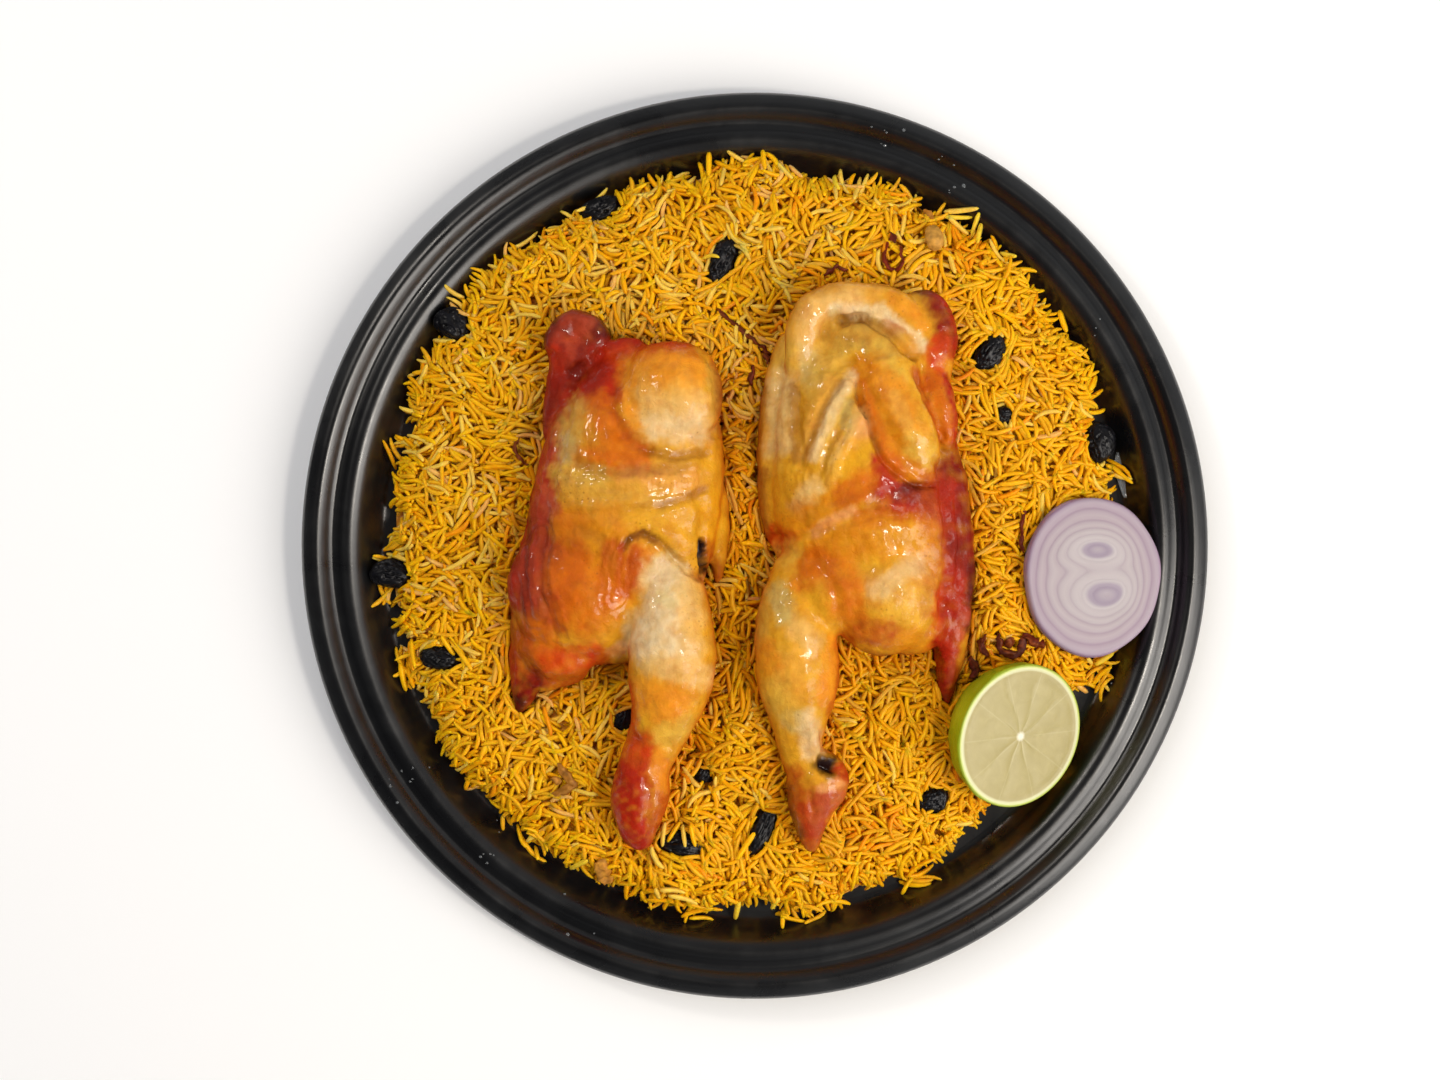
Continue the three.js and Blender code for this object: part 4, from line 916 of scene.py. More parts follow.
def onionMesh():
    half = onion["thickness"] / 2
    rows = onion["rows"]
    top = [(0.96 * (1 - i / rows), half) for i in range(rows + 1)]
    under = [(0.96 * i / 8, -half) for i in range(9)]
    side = [(0.985, -half * 0.85), (1, -half * 0.5), (1.0, half * 0.5), (0.985, half * 0.85)]
    bm = spinProfile(under + side + top, onion["steps"])
    ring = bm.verts.layers.float.new("ring")
    for vert in bm.verts:
        vert.co.x *= onion["halfX"]
        vert.co.y *= onion["halfY"]
        angle = math.atan2(vert.co.y, vert.co.x)
        uneven = 1 + 0.012 * math.sin(3 * angle + 1) + 0.008 * math.sin(7 * angle)
        vert.co.x *= uneven
        vert.co.y *= uneven
        vert[ring] = onionRing(vert.co.x, vert.co.y) + 0.02 * noise.noise(vert.co * 0.11)
        if vert.co.z > half * 0.95:
            phase = vert[ring] * onion["ringCount"]
            vert.co.z -= onion["groove"] * (1 - abs(math.sin(math.pi * phase))) ** 2
            vert.co.z += 0.25 * noise.noise(vert.co * 0.08)
    bmesh.ops.transform(bm, matrix=tipped(onion["tiltDeg"], 0, onion["x"], onion["y"], onion["height"]),
                        verts=bm.verts)
    return meshFrom(bm, "onion")


# Raw red onion: wet, milky and half see-through layers, each edged by a thin mauve skin.
onionFlesh, tree = newMaterial("raw onion flesh")
ring = addAttribute(tree, "ring", "Fac")
within = addMath(tree, "FRACT", addMath(tree, "MULTIPLY", ring, onion["ringCount"]))
layerTone = addRamp(tree, within, [(0.0, "#94818f"), (0.12, "#a8999f"), (0.45, "#b8aeae"), (0.8, "#ada1a6"),
                                   (1.0, "#94818f")])
outerTone = addRamp(tree, ring, [(0.0, "#a99ea4"), (0.12, "#948696"), (0.19, "#9a8d9b"), (0.25, "#b9b1b1"),
                                 (0.55, "#aea3a5"), (0.82, "#a18d99"), (0.96, "#967e97"), (1.0, "#866488")])
ringFade = addRange(tree, ring, 0.2, 0.6, 0.9, 0.5)  # the rings are faint near the hearts
finishMaterial(tree, {
    "Base Color": addMix(tree, ringFade, layerTone, outerTone), "Roughness": 0.45, "Specular IOR Level": 0.3,
    "Subsurface Weight": 0.25, "Subsurface Scale": 0.004, "Subsurface Radius": (1, 0.8, 0.9)})
onionPiece = newPiece("onion", onionMesh(), [onionFlesh], "onion", "onion_slice")
print("onion sliced")


# Raisins

raisins = {  # half length, half width, half height and heading of each, in mm and degrees
    "raisin_01": (8.5, 5.5, 4.5, 20), "raisin_02": (10.5, 5.2, 4.8, 68), "raisin_03": (7.8, 6.2, 5, 150),
    "raisin_04": (8.2, 5.4, 4.6, 52), "raisin_05": (8.2, 6.4, 5, 100), "raisin_06": (8.8, 5.8, 4.6, 175),
    "raisin_07": (8.6, 5.4, 4.4, 172), "raisin_08": (11.4, 4.6, 4.4, 66), "raisin_09": (9.2, 5, 4.2, 168),
    "raisin_10": (6.6, 5.2, 4.2, 30), "raisin_11": (4.2, 3.6, 3.2, 0), "raisin_12": (4.6, 4, 3.4, 60),
    "raisin_13": (5.4, 4.2, 3.6, 70),
}

# Dried black grape: leathery, folded in along its length, nearly black with a bluish oily sheen on the folds.
raisinSkin, tree = newMaterial("dried grape skin")
bloom = addNoise(tree, addSpot(tree), 300, 4)
finishMaterial(tree, {
    "Base Color": addRamp(tree, bloom, [(0.35, "#070608"), (0.7, "#131318")]), "Roughness": 0.36,
    "Specular IOR Level": 0.3, "Normal": addBump(tree, bloom, 0.5, 0.0008)})


def raisinMesh(name, halfLength, halfWidth, halfHeight, headingDeg):
    low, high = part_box(name)
    middle = (low + high) / 2 / mm
    seed = Vector((17.3 * headingDeg, 3.1 * halfLength, 0))
    bm = bmesh.new()
    bmesh.ops.create_icosphere(bm, subdivisions=5, radius=1)
    for vert in bm.verts:
        x, y, z = vert.co
        around = math.atan2(z, y)
        fold = 1 - 0.08 * math.cos(3 * around) * (1 - x * x)
        # deep folds run lengthwise and wander
        creases = noise.noise(Vector((x * 1.1, y * 3.2, z * 3.2)) + seed)
        creases += 0.5 * noise.noise(Vector((x * 2.5, y * 6.5, z * 6.5)) + seed)
        shrink = 1 - 0.34 * max(0.0, 1 - abs(creases) * 5) ** 1.5 * (1 - 0.5 * x * x) + 0.06 * creases
        vert.co.x = x * halfLength * (1 + 0.04 * creases)
        vert.co.y = y * halfWidth * fold * shrink + 0.14 * halfWidth * x * x
        vert.co.z = z * halfHeight * fold * shrink
    place = Matrix.Translation(middle) @ Matrix.Rotation(math.radians(headingDeg), 4, "Z")
    bmesh.ops.transform(bm, matrix=place, verts=bm.verts)
    return meshFrom(bm, name)


raisinPieces = [newPiece("dried_" + name, raisinMesh(name, *size), [raisinSkin], "raisin", name)
                for name, size in raisins.items()]
print(len(raisinPieces), "raisins folded")


# Rice heap

rice = {
    "lip": 2.5, "rise": 19,   # height of the heap's foot over the plate, and from there to the top
    # the heap's edge radius every 15 degrees anticlockwise from +X
    "edge": [139, 143, 149, 152, 152, 151, 153, 150, 150, 153, 150, 145,
             144, 143, 146, 146, 145, 147, 143, 145, 142, 139, 140, 139],
    "foot": 0.985,            # share of that radius where the grains end
    "coreDepth": 3.4,         # how far the solid core lies under the heap's surface
    "coreInset": 3,           # and how far inside its edge
    "cell": 0.6, "reach": 165,  # grid for laying the grains
    "holes": 70, "holeReach": 138, "holeRadius": (1.2, 2.1), "holeDepth": 5,  # dark gaps in the top layer
    "grainCount": 10800,      # more than there is room for
    "grainReach": 151,
    "placesTried": 4,         # the lowest of these is taken, so the heap fills evenly
    "length": (10, 16.5), "thickness": (1.7, 2.2),
    "broken": 0.08, "brokenLength": 0.6,
    "upright": 0.06,          # share of grains that stick up
    "outward": (0.93, 0.6),   # past this share of the edge radius, this share of grains points outwards
    "bedding": 0.42,          # share of its thickness that a grain's middle lies over what carries it
    "leastRoom": 0.2,         # no grain is laid where less depth is free
    "highest": 1.9,           # how far a grain's middle may stand over the heap's surface
    "sink": 0.55,             # how much a grain settles into the soft ones below, 0 for a stiff one
    "gravyShadeReach": 9, "gravyShadeTone": (0.84, 0.62, 0.55),  # juice stains and painted shade darken the rice round the meat
    "seed": 11, "holeSeed": 3, "tintSeed": 5,
}


def riceEdge(angle):
    corners = [(radius * math.cos(i * math.pi / 12), radius * math.sin(i * math.pi / 12))
               for i, radius in enumerate(rice["edge"])]
    x, y = splineAt(corners, angle / (2 * math.pi) % 1, closed=True)
    return math.hypot(x, y) + 1.6 * math.sin(angle * 17)


edgeTable = np.array([riceEdge(math.radians(a / 2)) for a in range(720)])


def heapTop(x, y):
    radius = np.hypot(x, y)
    edge = edgeTable[(np.degrees(np.arctan2(y, x)) * 2 % 720).astype(int) % 720]
    share = np.minimum(1, radius / edge)
    uneven = (0.45 * np.sin(x / 9.5 + 1.3 * np.sin(y / 17)) + 0.35 * np.sin(y / 8.1 - 0.8 + np.sin(x / 21))
              + 0.2 * np.sin((x + y) / 5.3 + 0.4))
    dome = rice["rise"] * (1 - share ** 7) ** 0.62
    return plate["floorTop"] + rice["lip"] + dome + 1.7 * uneven * np.minimum(1, 4 * (1 - share)), share


def castOnto(piece, fromAbove):
    # height of a piece's top or underside over the grid, nan where it is clear
    tree = BVHTree.FromObject(piece, bpy.context.evaluated_depsgraph_get())
    low = np.array(places(piece.data).min(0)) - 1
    high = np.array(places(piece.data).max(0)) + 1
    found = np.full(gridX.shape, np.nan)
    down = Vector((0, 0, -1 if fromAbove else 1))
    start = 0.2 if fromAbove else -0.05
    for i in np.nonzero((axis > low[0]) & (axis < high[0]))[0]:
        for j in np.nonzero((axis > low[1]) & (axis < high[1]))[0]:
            hit = tree.ray_cast(Vector((axis[i] * mm, axis[j] * mm, start)), down)[0]
            if hit:
                found[i, j] = hit.z / mm
    return found


axis = np.arange(-rice["reach"], rice["reach"], rice["cell"])
gridX, gridY = np.meshgrid(axis, axis, indexing="ij")
target, edgeShare = heapTop(gridX, gridY)
gridPoints = np.column_stack([gridX.ravel(), gridY.ravel()])
turn = np.arctan2(gridY, gridX)
edgeShare = edgeShare * (1 + 0.024 * np.sin(23 * turn + 1.3 * np.sin(7 * turn))
                         + 0.02 * np.sin(41 * turn + 2 * np.sin(11 * turn)))
clumps = wobble(gridPoints, 17, 31, 12) * 1.3 + wobble(gridPoints, 8, 32, 12) * 0.6
target = target + clumps.reshape(target.shape) * np.clip(5 * (1 - edgeShare), 0, 1)
# banked up between the halves
target += 5 * np.exp(-((gridX + 5) / 11) ** 2) * smooth((95 - np.abs(gridY + 10)) / 25)
plateHeight = plateTop(np.hypot(gridX, gridY))
bodyTop = np.full(gridX.shape, -99.0)
bodyLow = np.full(gridX.shape, 999.0)
for piece in chickenPieces + [limePiece, onionPiece] + raisinPieces:
    bodyTop = np.fmax(bodyTop, castOnto(piece, True))
    bodyLow = np.fmin(bodyLow, castOnto(piece, False))
print("bodies measured")
underBody = bodyLow < 900
ground = np.maximum(plateHeight + 0.3, target - rice["coreDepth"])
ground = np.where(edgeShare < rice["foot"], ground, plateHeight)
ground = np.where(underBody, np.minimum(ground, np.maximum(bodyLow - 0.6, plateHeight)), ground)
coreHeight = ground.copy()

draw = random.Random(rice["holeSeed"])
for _ in range(rice["holes"]):
    radius, angle = rice["holeReach"] * math.sqrt(draw.random()), draw.uniform(0, 2 * math.pi)
    away = np.hypot(gridX - radius * math.cos(angle), gridY - radius * math.sin(angle))
    target[away < draw.uniform(*rice["holeRadius"])] -= rice["holeDepth"]


def cellOf(x, y):
    i = ((np.asarray(x) + rice["reach"]) / rice["cell"] + 0.5).astype(int)
    j = ((np.asarray(y) + rice["reach"]) / rice["cell"] + 0.5).astype(int)
    return np.clip(i, 0, len(axis) - 1), np.clip(j, 0, len(axis) - 1)


def spread(mask, reach):
    # share of covered cells in a square that reaches `reach` mm to each side
    cells = int(reach / rice["cell"])
    wide = 2 * cells + 1
    total = np.pad(mask.astype(float), cells + 1).cumsum(0).cumsum(1)
    total = total[wide:, wide:] - total[:-wide, wide:] - total[wide:, :-wide] + total[:-wide, :-wide]
    return total[:-1, :-1] / wide ** 2


def coreMesh():
    rings, steps = 150, 300
    bm = spinProfile([(1 - i / rings, 1) for i in range(rings + 1)], steps)
    rim = [e for e in bm.edges if e.is_boundary]
    skirt = bmesh.ops.extrude_edge_only(bm, edges=rim)["geom"]
    for vert in (v for v in skirt if isinstance(v, bmesh.types.BMVert)):
        vert.co.z = 0
    bmesh.ops.holes_fill(bm, edges=[e for e in bm.edges if e.is_boundary], sides=0)
    for vert in bm.verts:
        angle = math.atan2(vert.co.y, vert.co.x)
        radius = math.hypot(vert.co.x, vert.co.y) * (riceEdge(angle) - rice["coreInset"])
        x, y = radius * math.cos(angle), radius * math.sin(angle)
        i, j = cellOf(x, y)
        vert.co = (x, y, coreHeight[i, j] if vert.co.z > 0.5 else plateTop(radius) + 0.2)
    bmesh.ops.recalc_face_normals(bm, faces=bm.faces)
    return meshFrom(bm, "rice_core")


# Packed rice under the loose grains, seen only through the gaps: painted shade makes it darker than the loose
# grains, yellow on its ribs and brown between them.
packedRice, tree = newMaterial("packed saffron rice")
ribs = addCells(tree, addSpot(tree), 330)
finishMaterial(tree, {
    # painted shade: darker and browner towards the creases between the ribs
    "Base Color": addRamp(tree, ribs, [(0.2, "#f0b020"), (0.5, "#dc9616"), (0.8, "#ac640f")]),
    "Roughness": 0.55, "Normal": addBump(tree, ribs, 0.8, -0.0015)})
newPiece("rice_core", coreMesh(), [packedRice], "rice", "rice_heap")


def grainTemplates():
    # a long basmati grain from -0.5 to 0.5 on X, in several bends
    shapes = []
    for bend, twist in [(0.02, 0), (0.09, 0.03), (0.15, -0.03), (-0.12, 0.04), (0.2, 0.03), (-0.06, -0.05)]:
        bm = bmesh.new()
        bmesh.ops.create_uvsphere(bm, u_segments=5, v_segments=7, radius=0.5)
        bmesh.ops.rotate(bm, matrix=Matrix.Rotation(math.radians(90), 3, "Y"), verts=bm.verts)
        bmesh.ops.triangulate(bm, faces=bm.faces)
        for vert in bm.verts:
            along = vert.co.x * 2
            full = math.sqrt(max(1e-6, 1 - along * along))
            # stays thick, then closes quickly
            taper = max(0.0, 1 - abs(along) ** 5) ** 0.5 * (1 - 0.1 * along)
            vert.co.y *= taper / full
            vert.co.z *= 0.88 * taper / full
        points = np.array([v.co[:] for v in bm.verts])
        # bend and twist are shares of the length, so they are kept apart from the thickness
        offset = np.zeros_like(points)
        offset[:, 1] = bend * (4 * points[:, 0] ** 2 - 0.5)
        offset[:, 2] = twist * np.sin(points[:, 0] * 2 * math.pi)
        faces = np.array([[v.index for v in f.verts] for f in bm.faces])
        bm.free()
        shapes.append((points, offset, faces, bend))
    return shapes


grainShapes = grainTemplates()
samples = np.linspace(-0.5, 0.5, 9)


def restingLine(heights, along):
    # a stiff grain lies on the upper chord over its own middle, and a soft one settles towards the mean line
    meanSlope = float((heights * along).sum() / (along * along).sum())
    meanLevel = float(heights.mean())
    hull = []
    for s, h in zip(along, heights):
        while len(hull) > 1:
            (s0, h0), (s1, h1) = hull[-2:]
            if (h1 - h0) * (s - s0) > (h - h0) * (s1 - s0):
                break
            hull.pop()
        hull.append((s, h))
    for (s0, h0), (s1, h1) in zip(hull[:-1], hull[1:]):
        if s0 <= 0 <= s1:
            slope = (h1 - h0) / (s1 - s0)
            level = h0 - slope * s0
            break
    return level + (meanLevel - level) * rice["sink"], slope + (meanSlope - slope) * rice["sink"]


def layGrains():
    draw = random.Random(rice["seed"])
    laid = []
    tries = 0
    while len(laid) < rice["grainCount"] and tries < 10 * rice["grainCount"]:
        tries += 1
        best = None
        for _ in range(rice["placesTried"]):
            radius = rice["grainReach"] * math.sqrt(draw.random())
            angle = draw.uniform(0, 2 * math.pi)
            x, y = radius * math.cos(angle), radius * math.sin(angle)
            i, j = cellOf(x, y)
            covered = bodyLow[i, j] < ground[i, j] + 1.6 and bodyTop[i, j] > ground[i, j]
            if covered or edgeShare[i, j] > rice["foot"]:
                continue
            room = target[i, j] - ground[i, j]
            if best is None or room > best[0]:
                best = (room, x, y, edgeShare[i, j])
        if best is None or best[0] < rice["leastRoom"]:
            continue
        _, x, y, share = best
        flow = 2.6 * math.sin(x / 9 + 1.7 * math.sin(y / 13)) + 2.2 * math.sin(y / 8 - x / 17)
        heading = flow + draw.gauss(0, 0.55)
        if share > rice["outward"][0] and draw.random() < rice["outward"][1]:
            heading = math.atan2(y, x) + draw.gauss(0, 0.5)
        length = draw.uniform(*rice["length"])
        if draw.random() < rice["broken"]:
            length *= rice["brokenLength"]
        thickness = draw.uniform(*rice["thickness"])
        shape = draw.randrange(len(grainShapes))
        bend = grainShapes[shape][3] * length
        cosine, sine = math.cos(heading), math.sin(heading)
        along = samples * length
        side = bend * (4 * samples ** 2 - 0.5)
        px, py = x + along * cosine - side * sine, y + along * sine + side * cosine
        i, j = cellOf(px, py)
        level, slope = restingLine(ground[i, j], along)
        steepest = 0.55 if share < 0.9 else 1.3
        if draw.random() < rice["upright"]:
            slope += draw.choice((-0.4, 0.4))
        slope = max(-steepest, min(steepest, slope + draw.gauss(0, 0.07)))
        line = level + slope * along + thickness * rice["bedding"]
        inside = (line > bodyLow[i, j] - thickness * 0.5) & (line < bodyTop[i, j] + thickness * 0.3)
        if inside.sum() > 2 or inside[2:7].any():
            continue
        over = line - target[i, j]
        if (over > (2.8 if share < 0.92 else 9)).sum() > 1 or over[4] > rice["highest"]:
            continue
        centre = (x, y, level + thickness * rice["bedding"])
        roll = draw.uniform(-0.5, 0.5)
        laid.append((shape, centre, heading, math.atan(slope), roll, length, thickness,
                     draw.random(), draw.random()))
        # the grain becomes ground for the next ones
        fine = np.linspace(-0.48, 0.48, 22)
        for offset, drop in ((0, 0.0), (-0.33, 0.2), (0.33, 0.2)):
            side = bend * (4 * fine ** 2 - 0.5) + offset * thickness
            gx, gy = x + fine * length * cosine - side * sine, y + fine * length * sine + side * cosine
            a, b = cellOf(gx, gy)
            top = level + slope * fine * length + thickness * (0.84 - drop) - 1.2 * (2 * np.abs(fine)) ** 6
            np.maximum.at(ground, (a, b), np.where(bodyLow[a, b] < top + 0.3, -9, top))
    print("laid", len(laid), "grains in", tries, "tries")
    return laid


def grainAxes(heading, pitch, roll):
    turn = Matrix.Rotation(heading, 3, "Z") @ Matrix.Rotation(-pitch, 3, "Y") @ Matrix.Rotation(roll, 3, "X")
    return np.array(turn.transposed())


def joinGrains(name, grains, tints):
    allPoints, allFaces, allColours = [], [], []
    start = 0
    for (shape, centre, heading, pitch, roll, length, thickness, _, _), tint in zip(grains, tints):
        points, offset, faces, _ = grainShapes[shape]
        local = points * (length, thickness, thickness) + offset * length
        allPoints.append(local @ grainAxes(heading, pitch, roll) + centre)
        allFaces.append(faces + start)
        allColours.append(np.tile(tint, (len(points), 1)))
        start += len(points)
    mesh = bpy.data.meshes.new(name)
    mesh.from_pydata(np.concatenate(allPoints) * mm, [], np.concatenate(allFaces))
    paintMesh(mesh, "grainTint", np.concatenate(allColours))
    return mesh


riceColours = {
    "saffron": "#f8b80e", "golden": "#f2aa0a", "honey": "#f4b418", "amber": "#eeae1c", "pale": "#f2c650",
    "peach": "#eeb45a", "orange": "#f29a0c", "dull": "#e2ac34", "lemon": "#ecc634",
}
riceTint = {name: np.array(linear(code)[:3]) for name, code in riceColours.items()}

# Steamed basmati: long, moist and slightly glossy, stained unevenly by saffron from pale straw to orange.
basmati, tree = newMaterial("steamed saffron basmati")
stain = addRange(tree, addNoise(tree, addSpot(tree), 330), 0.3, 0.7, 0.86, 1.1)
finishMaterial(tree, {
    "Base Color": addShade(tree, addAttribute(tree, "grainTint"), stain), "Roughness": 0.4, "IOR": 1.4,
    "Specular IOR Level": 0.2, "Subsurface Weight": 0.7, "Subsurface Radius": (1, 0.85, 0.5),
    "Subsurface Scale": 0.0014})

groups = {kind: [] for kind in ("saffron", "golden", "honey", "amber", "pale", "orange")}
draw = random.Random(rice["tintSeed"])
chickenReach = [([(-45, 70), (-60, 10), (-60, -30)], 46), ([(40, 80), (45, 10), (50, -20)], 44)]
# rice beside the tall meat is darkened and warmed: part juice stain, part painted shade
gravyAndShade = spread(bodyTop > 30, rice["gravyShadeReach"])
gravyShadeTone = np.array(rice["gravyShadeTone"])
for grain in layGrains():
    x, y = grain[1][:2]
    pick, second = grain[7:]
    paleShare = 0.1 + 0.08 * max(-1, min(1, (y - x) / 120))  # paler towards the upper left
    stained = math.hypot(x - 83, y - 116) < 8 or math.hypot(x - 49, y + 109) < 9
    byChicken = any(pathDistance(np.array([[x, y]]), line)[0] < reach for line, reach in chickenReach)
    shares = [(paleShare, "pale"), (0.36, "golden"), (0.38, "orange"), (0.62, "honey"), (0.8, "amber"),
              (1, "saffron")]
    kind = "orange" if stained and pick < 0.7 else next(kind for limit, kind in shares if pick < limit)
    tintName = kind
    if kind == "pale" and second >= 0.8:
        tintName = "peach"
    if kind == "honey" and byChicken and second < 0.7:
        tintName = "dull"
    i, j = cellOf(x, y)
    soakedAndShaded = min(1.0, 2.4 * float(gravyAndShade[i, j])) * draw.uniform(0.3, 1)
    tint = riceTint[tintName] * draw.uniform(0.95, 1.03) * (1 + (gravyShadeTone - 1) * soakedAndShaded)
    groups[kind].append((grain, tint))

# Grains that the photo shows one by one: both ends in mm, thickness, bend (share of the length), colour.
strayGrains = [
    (-18, 155, -18, 144, 2.4, 0.05, "saffron"), (-22, 152, -20, 142, 2.0, -0.05, "saffron"),
    (-17, 152, -6, 146, 2.1, 0.04, "golden"), (-11, 155, -3, 150, 1.9, 0.03, "pale"),
    (-5, 150, 4, 152, 2.0, -0.06, "saffron"), (3, 156, 4, 146, 2.1, 0, "saffron"),
    (4, 155, 10, 148, 2.2, -0.1, "saffron"), (8, 151, 15, 143, 2.1, 0.04, "pale"),
    (13, 150, 19, 144, 1.9, 0, "peach"), (31, 147, 33, 138, 2.2, 0.08, "lemon"),
    (74, 131, 88, 132, 2.3, 0.02, "pale"), (74, 129, 86, 129, 2.0, 0.03, "lemon"),
    (75, 130, 84, 122, 2.1, 0, "pale"), (88, 131, 85, 121, 1.9, 0.02, "lemon"),
    (89, 127, 87, 118, 2.0, 0.03, "lemon"), (96, 115, 103, 113, 2, 0, "lemon"),
    (-135, -26, -145, -34, 2.1, -0.06, "saffron"), (-134, -30, -143, -37, 2.0, 0.05, "saffron"),
    (-132, -32, -139, -38, 2.0, 0.04, "pale"), (-135, -36, -133, -48, 2.1, 0.03, "saffron"),
    (-140, -46, -138, -58, 2.4, 0.03, "saffron"), (-138, -45, -134, -57, 2.2, 0.04, "golden"),
    (-6, -139, -8, -149, 2.4, 0.04, "lemon"), (-34, -136, -22, -140, 2.2, -0.04, "pale"),
    (-37, -134, -27, -135, 2.0, -0.03, "pale"), (-50, -132, -51, -141, 2.1, 0, "golden"),
    (-45, -135, -42, -142, 2.0, 0.06, "saffron"), (-39, -133, -37, -139, 1.9, 0, "pale"),
    (-19, -135, -15, -142, 2.1, 0.1, "saffron"), (-35, -107, -36, -117, 2.0, 0.03, "pale"),
    (-29, -107, -34, -115, 1.9, 0.03, "saffron"), (-28, -108, -27, -117, 1.9, 0, "pale"),
    (-25, -108, -23, -117, 2.0, 0.03, "saffron"), (-41, -115, -35, -127, 2.2, 0.06, "pale"),
    (0, -111, -7, -122, 2.3, 0.03, "saffron"), (10, -137, 6, -144, 2.0, 0, "lemon"),
    (40, -124, 38, -135, 2.2, 0.03, "saffron"), (127, -42, 135, -48, 2.0, 0, "pale"),
    (134, -47, 142, -42, 2.7, 0.04, "lemon"), (126, -54, 133, -59, 2.3, 0, "peach"),
    (-70, 130, -57, 141, 1.9, 0.12, "pale"), (-97, 116, -85, 124, 1.8, 0.12, "pale"),
    (-122, 102, -114, 97, 1.9, 0.1, "pale"), (-121, 96, -111, 89, 1.9, 0.12, "peach"),
    (-128, 81, -116, 80, 1.9, 0.05, "pale"), (120, 93, 123, 84, 2.6, 0.03, "saffron"),
    (121, 77, 130, 79, 1.9, 0.06, "saffron"), (131, 60, 135, 68, 2.2, 0.03, "saffron"),
    (130, 52, 140, 54, 1.9, 0.06, "saffron"), (-64, -122, -74, -128, 2.2, 0.03, "lemon"),
    (-65, -121, -60, -130, 2.1, 0.03, "golden"), (-75, -111, -82, -119, 2.1, 0.05, "saffron"),
    (-122, -35, -117, -43, 2.1, 0.05, "saffron"), (-21, 112, -13, 112, 1.7, -0.1, "lemon"),
    (-128, -4, -136, -8, 2.1, 0.05, "saffron"), (-133, -14, -142, -19, 2.1, 0.05, "golden"),
    (-134, 4, -142, 1, 2.1, -0.05, "saffron"), (-138, 20, -146, 14, 2.1, 0.08, "saffron"),
]
carried = np.maximum(ground, np.where(underBody, bodyTop, -99))
for x1, y1, x2, y2, thickness, bend, tintName in strayGrains:
    length = math.hypot(x2 - x1, y2 - y1)
    shape = min(range(len(grainShapes)), key=lambda k: abs(grainShapes[k][3] - bend))
    x, y, heading = (x1 + x2) / 2, (y1 + y2) / 2, math.atan2(y2 - y1, x2 - x1)
    along = samples * length
    i, j = cellOf(x + along * math.cos(heading), y + along * math.sin(heading))
    level, slope = restingLine(carried[i, j], along)
    groups["pale"].append(((shape, (x, y, level + 0.45 * thickness), heading, math.atan(slope), 0.0,
                            length, thickness, 0, 0), riceTint[tintName]))
for kind, members in groups.items():
    mesh = joinGrains("rice_" + kind, [m[0] for m in members], [m[1] for m in members])
    newPiece("rice_" + kind, mesh, [basmati], "rice", "rice_heap")
    print("rice", kind, len(members), "grains", len(mesh.polygons), "faces")


# Small toppings that lie among the rice

# Fried onion and bits of skin: crisp, oily, dark maroon at the thin edges and amber where it is thick.
crisp, tree = newMaterial("crisp fried onion")
char = addNoise(tree, addSpot(tree), 420, 4)
fried = addShade(tree, addAttribute(tree, "grainTint"), addRange(tree, char, 0.3, 0.7, 0.6, 1.25))
finishMaterial(tree, {
    "Base Color": fried, "Roughness": 0.5, "Specular IOR Level": 0.15,
    "Normal": addBump(tree, char, 0.6, 0.0008)})

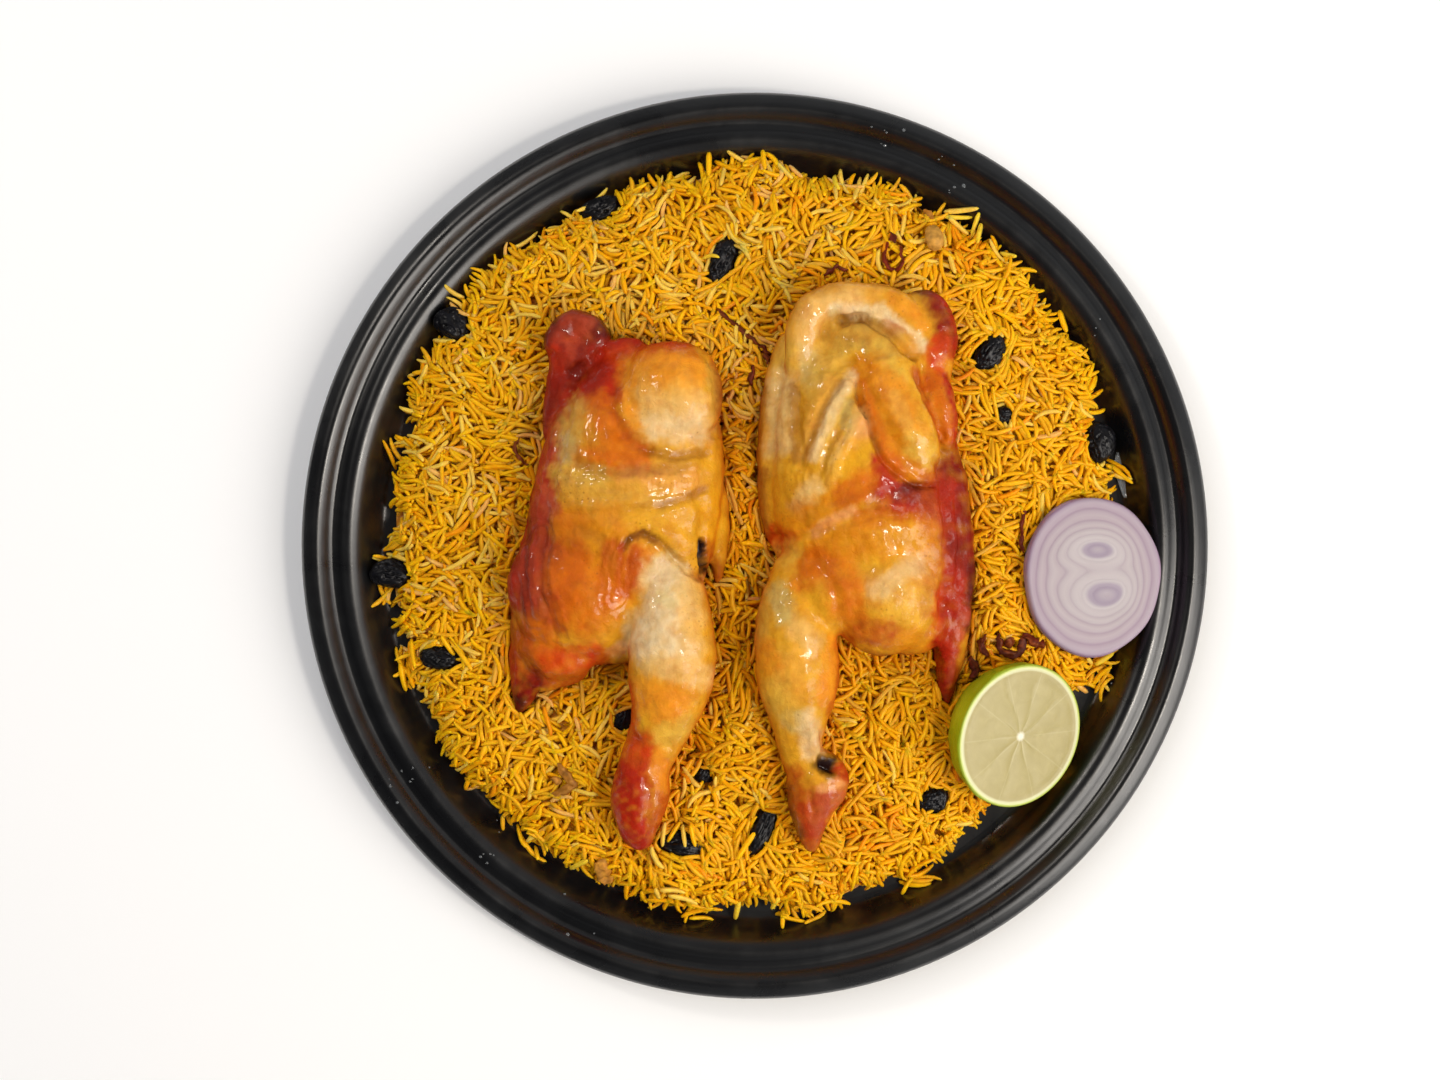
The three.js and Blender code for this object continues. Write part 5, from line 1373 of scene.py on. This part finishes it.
toppings = {  # (colour, half width, half height, lift, line in mm)
    "fried_onion": [
        ("#7a3812", 0.9, 0.7, -0.6, [(-14.7, 92.7), (-10.4, 87.7), (-3.8, 82.3), (0.9, 78)]),
        ("#4c1a0a", 1.3, 0.8, -0.4, [(0.9, 78), (4.4, 74.6), (5, 70)]),
        ("#6e2a10", 1.0, 0.8, 0.2, [(-0.7, 69.6), (-1.8, 61.9)]),
        ("#7c2a10", 0.7, 0.7, 0.1, [(51.3, 117.7), (50.2, 110.8), (53.7, 106.9), (57.2, 110), (56.4, 117.3)]),
        ("#5e1c0e", 1.3, 0.9, 0.1, [(53.2, 121.4), (54, 117)]),
        ("#4c1e0e", 1.7, 0.8, -0.1, [(83, -43), (85.5, -48), (83.5, -51)]),
        ("#6c2c10", 1.3, 0.9, 0.2, [(89, -34), (87.6, -38.5), (90.3, -42.5)]),
        ("#501c0c", 1.7, 0.9, 0.1, [(94.7, -33.8), (95, -39.5), (99.8, -42.4), (103.4, -40), (103.2, -35.6)]),
        ("#7c3a14", 2, 0.8, 0, [(97.5, -36.5), (100.5, -38.5)]),
        ("#5c220c", 1.9, 0.8, 0, [(103.7, -34.3), (108.8, -37.1), (113, -38.8)]),
        ("#6c2410", 0.9, 0.7, 0.4, [(104.5, 14), (103.4, 6), (103.8, -3)]),
        ("#5e1c10", 0.8, 0.7, 0.3, [(27, 104), (31, 107.5), (36, 106.5)]),
        ("#7c3a14", 0.9, 0.6, 0.2, [(-88, 31), (-93, 37), (-91, 42)]),
    ],
    "skin_bits": [
        ("#9c6420", 1.9, 0.8, 0.2, [(-76.5, -85), (-71, -91.5), (-71.5, -93.5), (-78, -97)]),
        ("#b47a34", 1.4, 0.7, 0.2, [(-78.5, -90), (-75, -92)]),
        ("#c0842e", 3.2, 1.2, 0.2, [(-60.5, -123), (-59.3, -128), (-57.5, -133)]),
        ("#b4762a", 1.2, 0.7, 0.3, [(66, 132), (70, 128)]),
    ],
    "nut": [("#cc9440", 3.5, 2.2, 0.3, [(69, 124.4), (69.7, 119.6), (70.6, 114.8)])],
}
for name, strips in toppings.items():
    bm = bmesh.new()
    tints = []
    for code, halfWidth, halfHeight, lift, line in strips:
        stations = []
        for x, y in line:
            i, j = cellOf([x - 1, x, x + 1, x, x], [y, y, y, y - 1, y + 1])
            height = float(carried[i, j].max()) + halfHeight * 0.5 + lift
            stations.append((x, y, height, halfWidth, halfHeight))
        before = len(bm.verts)
        addLimb(bm, stations, sides=14, bluntness=0.6)
        tints += [linear(code)[:3]] * (len(bm.verts) - before)
    crumple = 0.3 if name == "nut" else 1.1
    for vert in bm.verts:
        vert.co += crumple * Vector((
            noise.noise(vert.co * 0.5), noise.noise(vert.co * 0.5 + Vector((9, 0, 0))),
            noise.noise(vert.co * 0.4 + Vector((0, 7, 0))) * 1.4))
    mesh = meshFrom(bm, name)
    paintMesh(mesh, "grainTint", np.array(tints))
    newPiece(name, mesh, [crisp], "rice", "rice_heap")
print("toppings laid")


# Closing lines

bpy.context.view_layer.update()
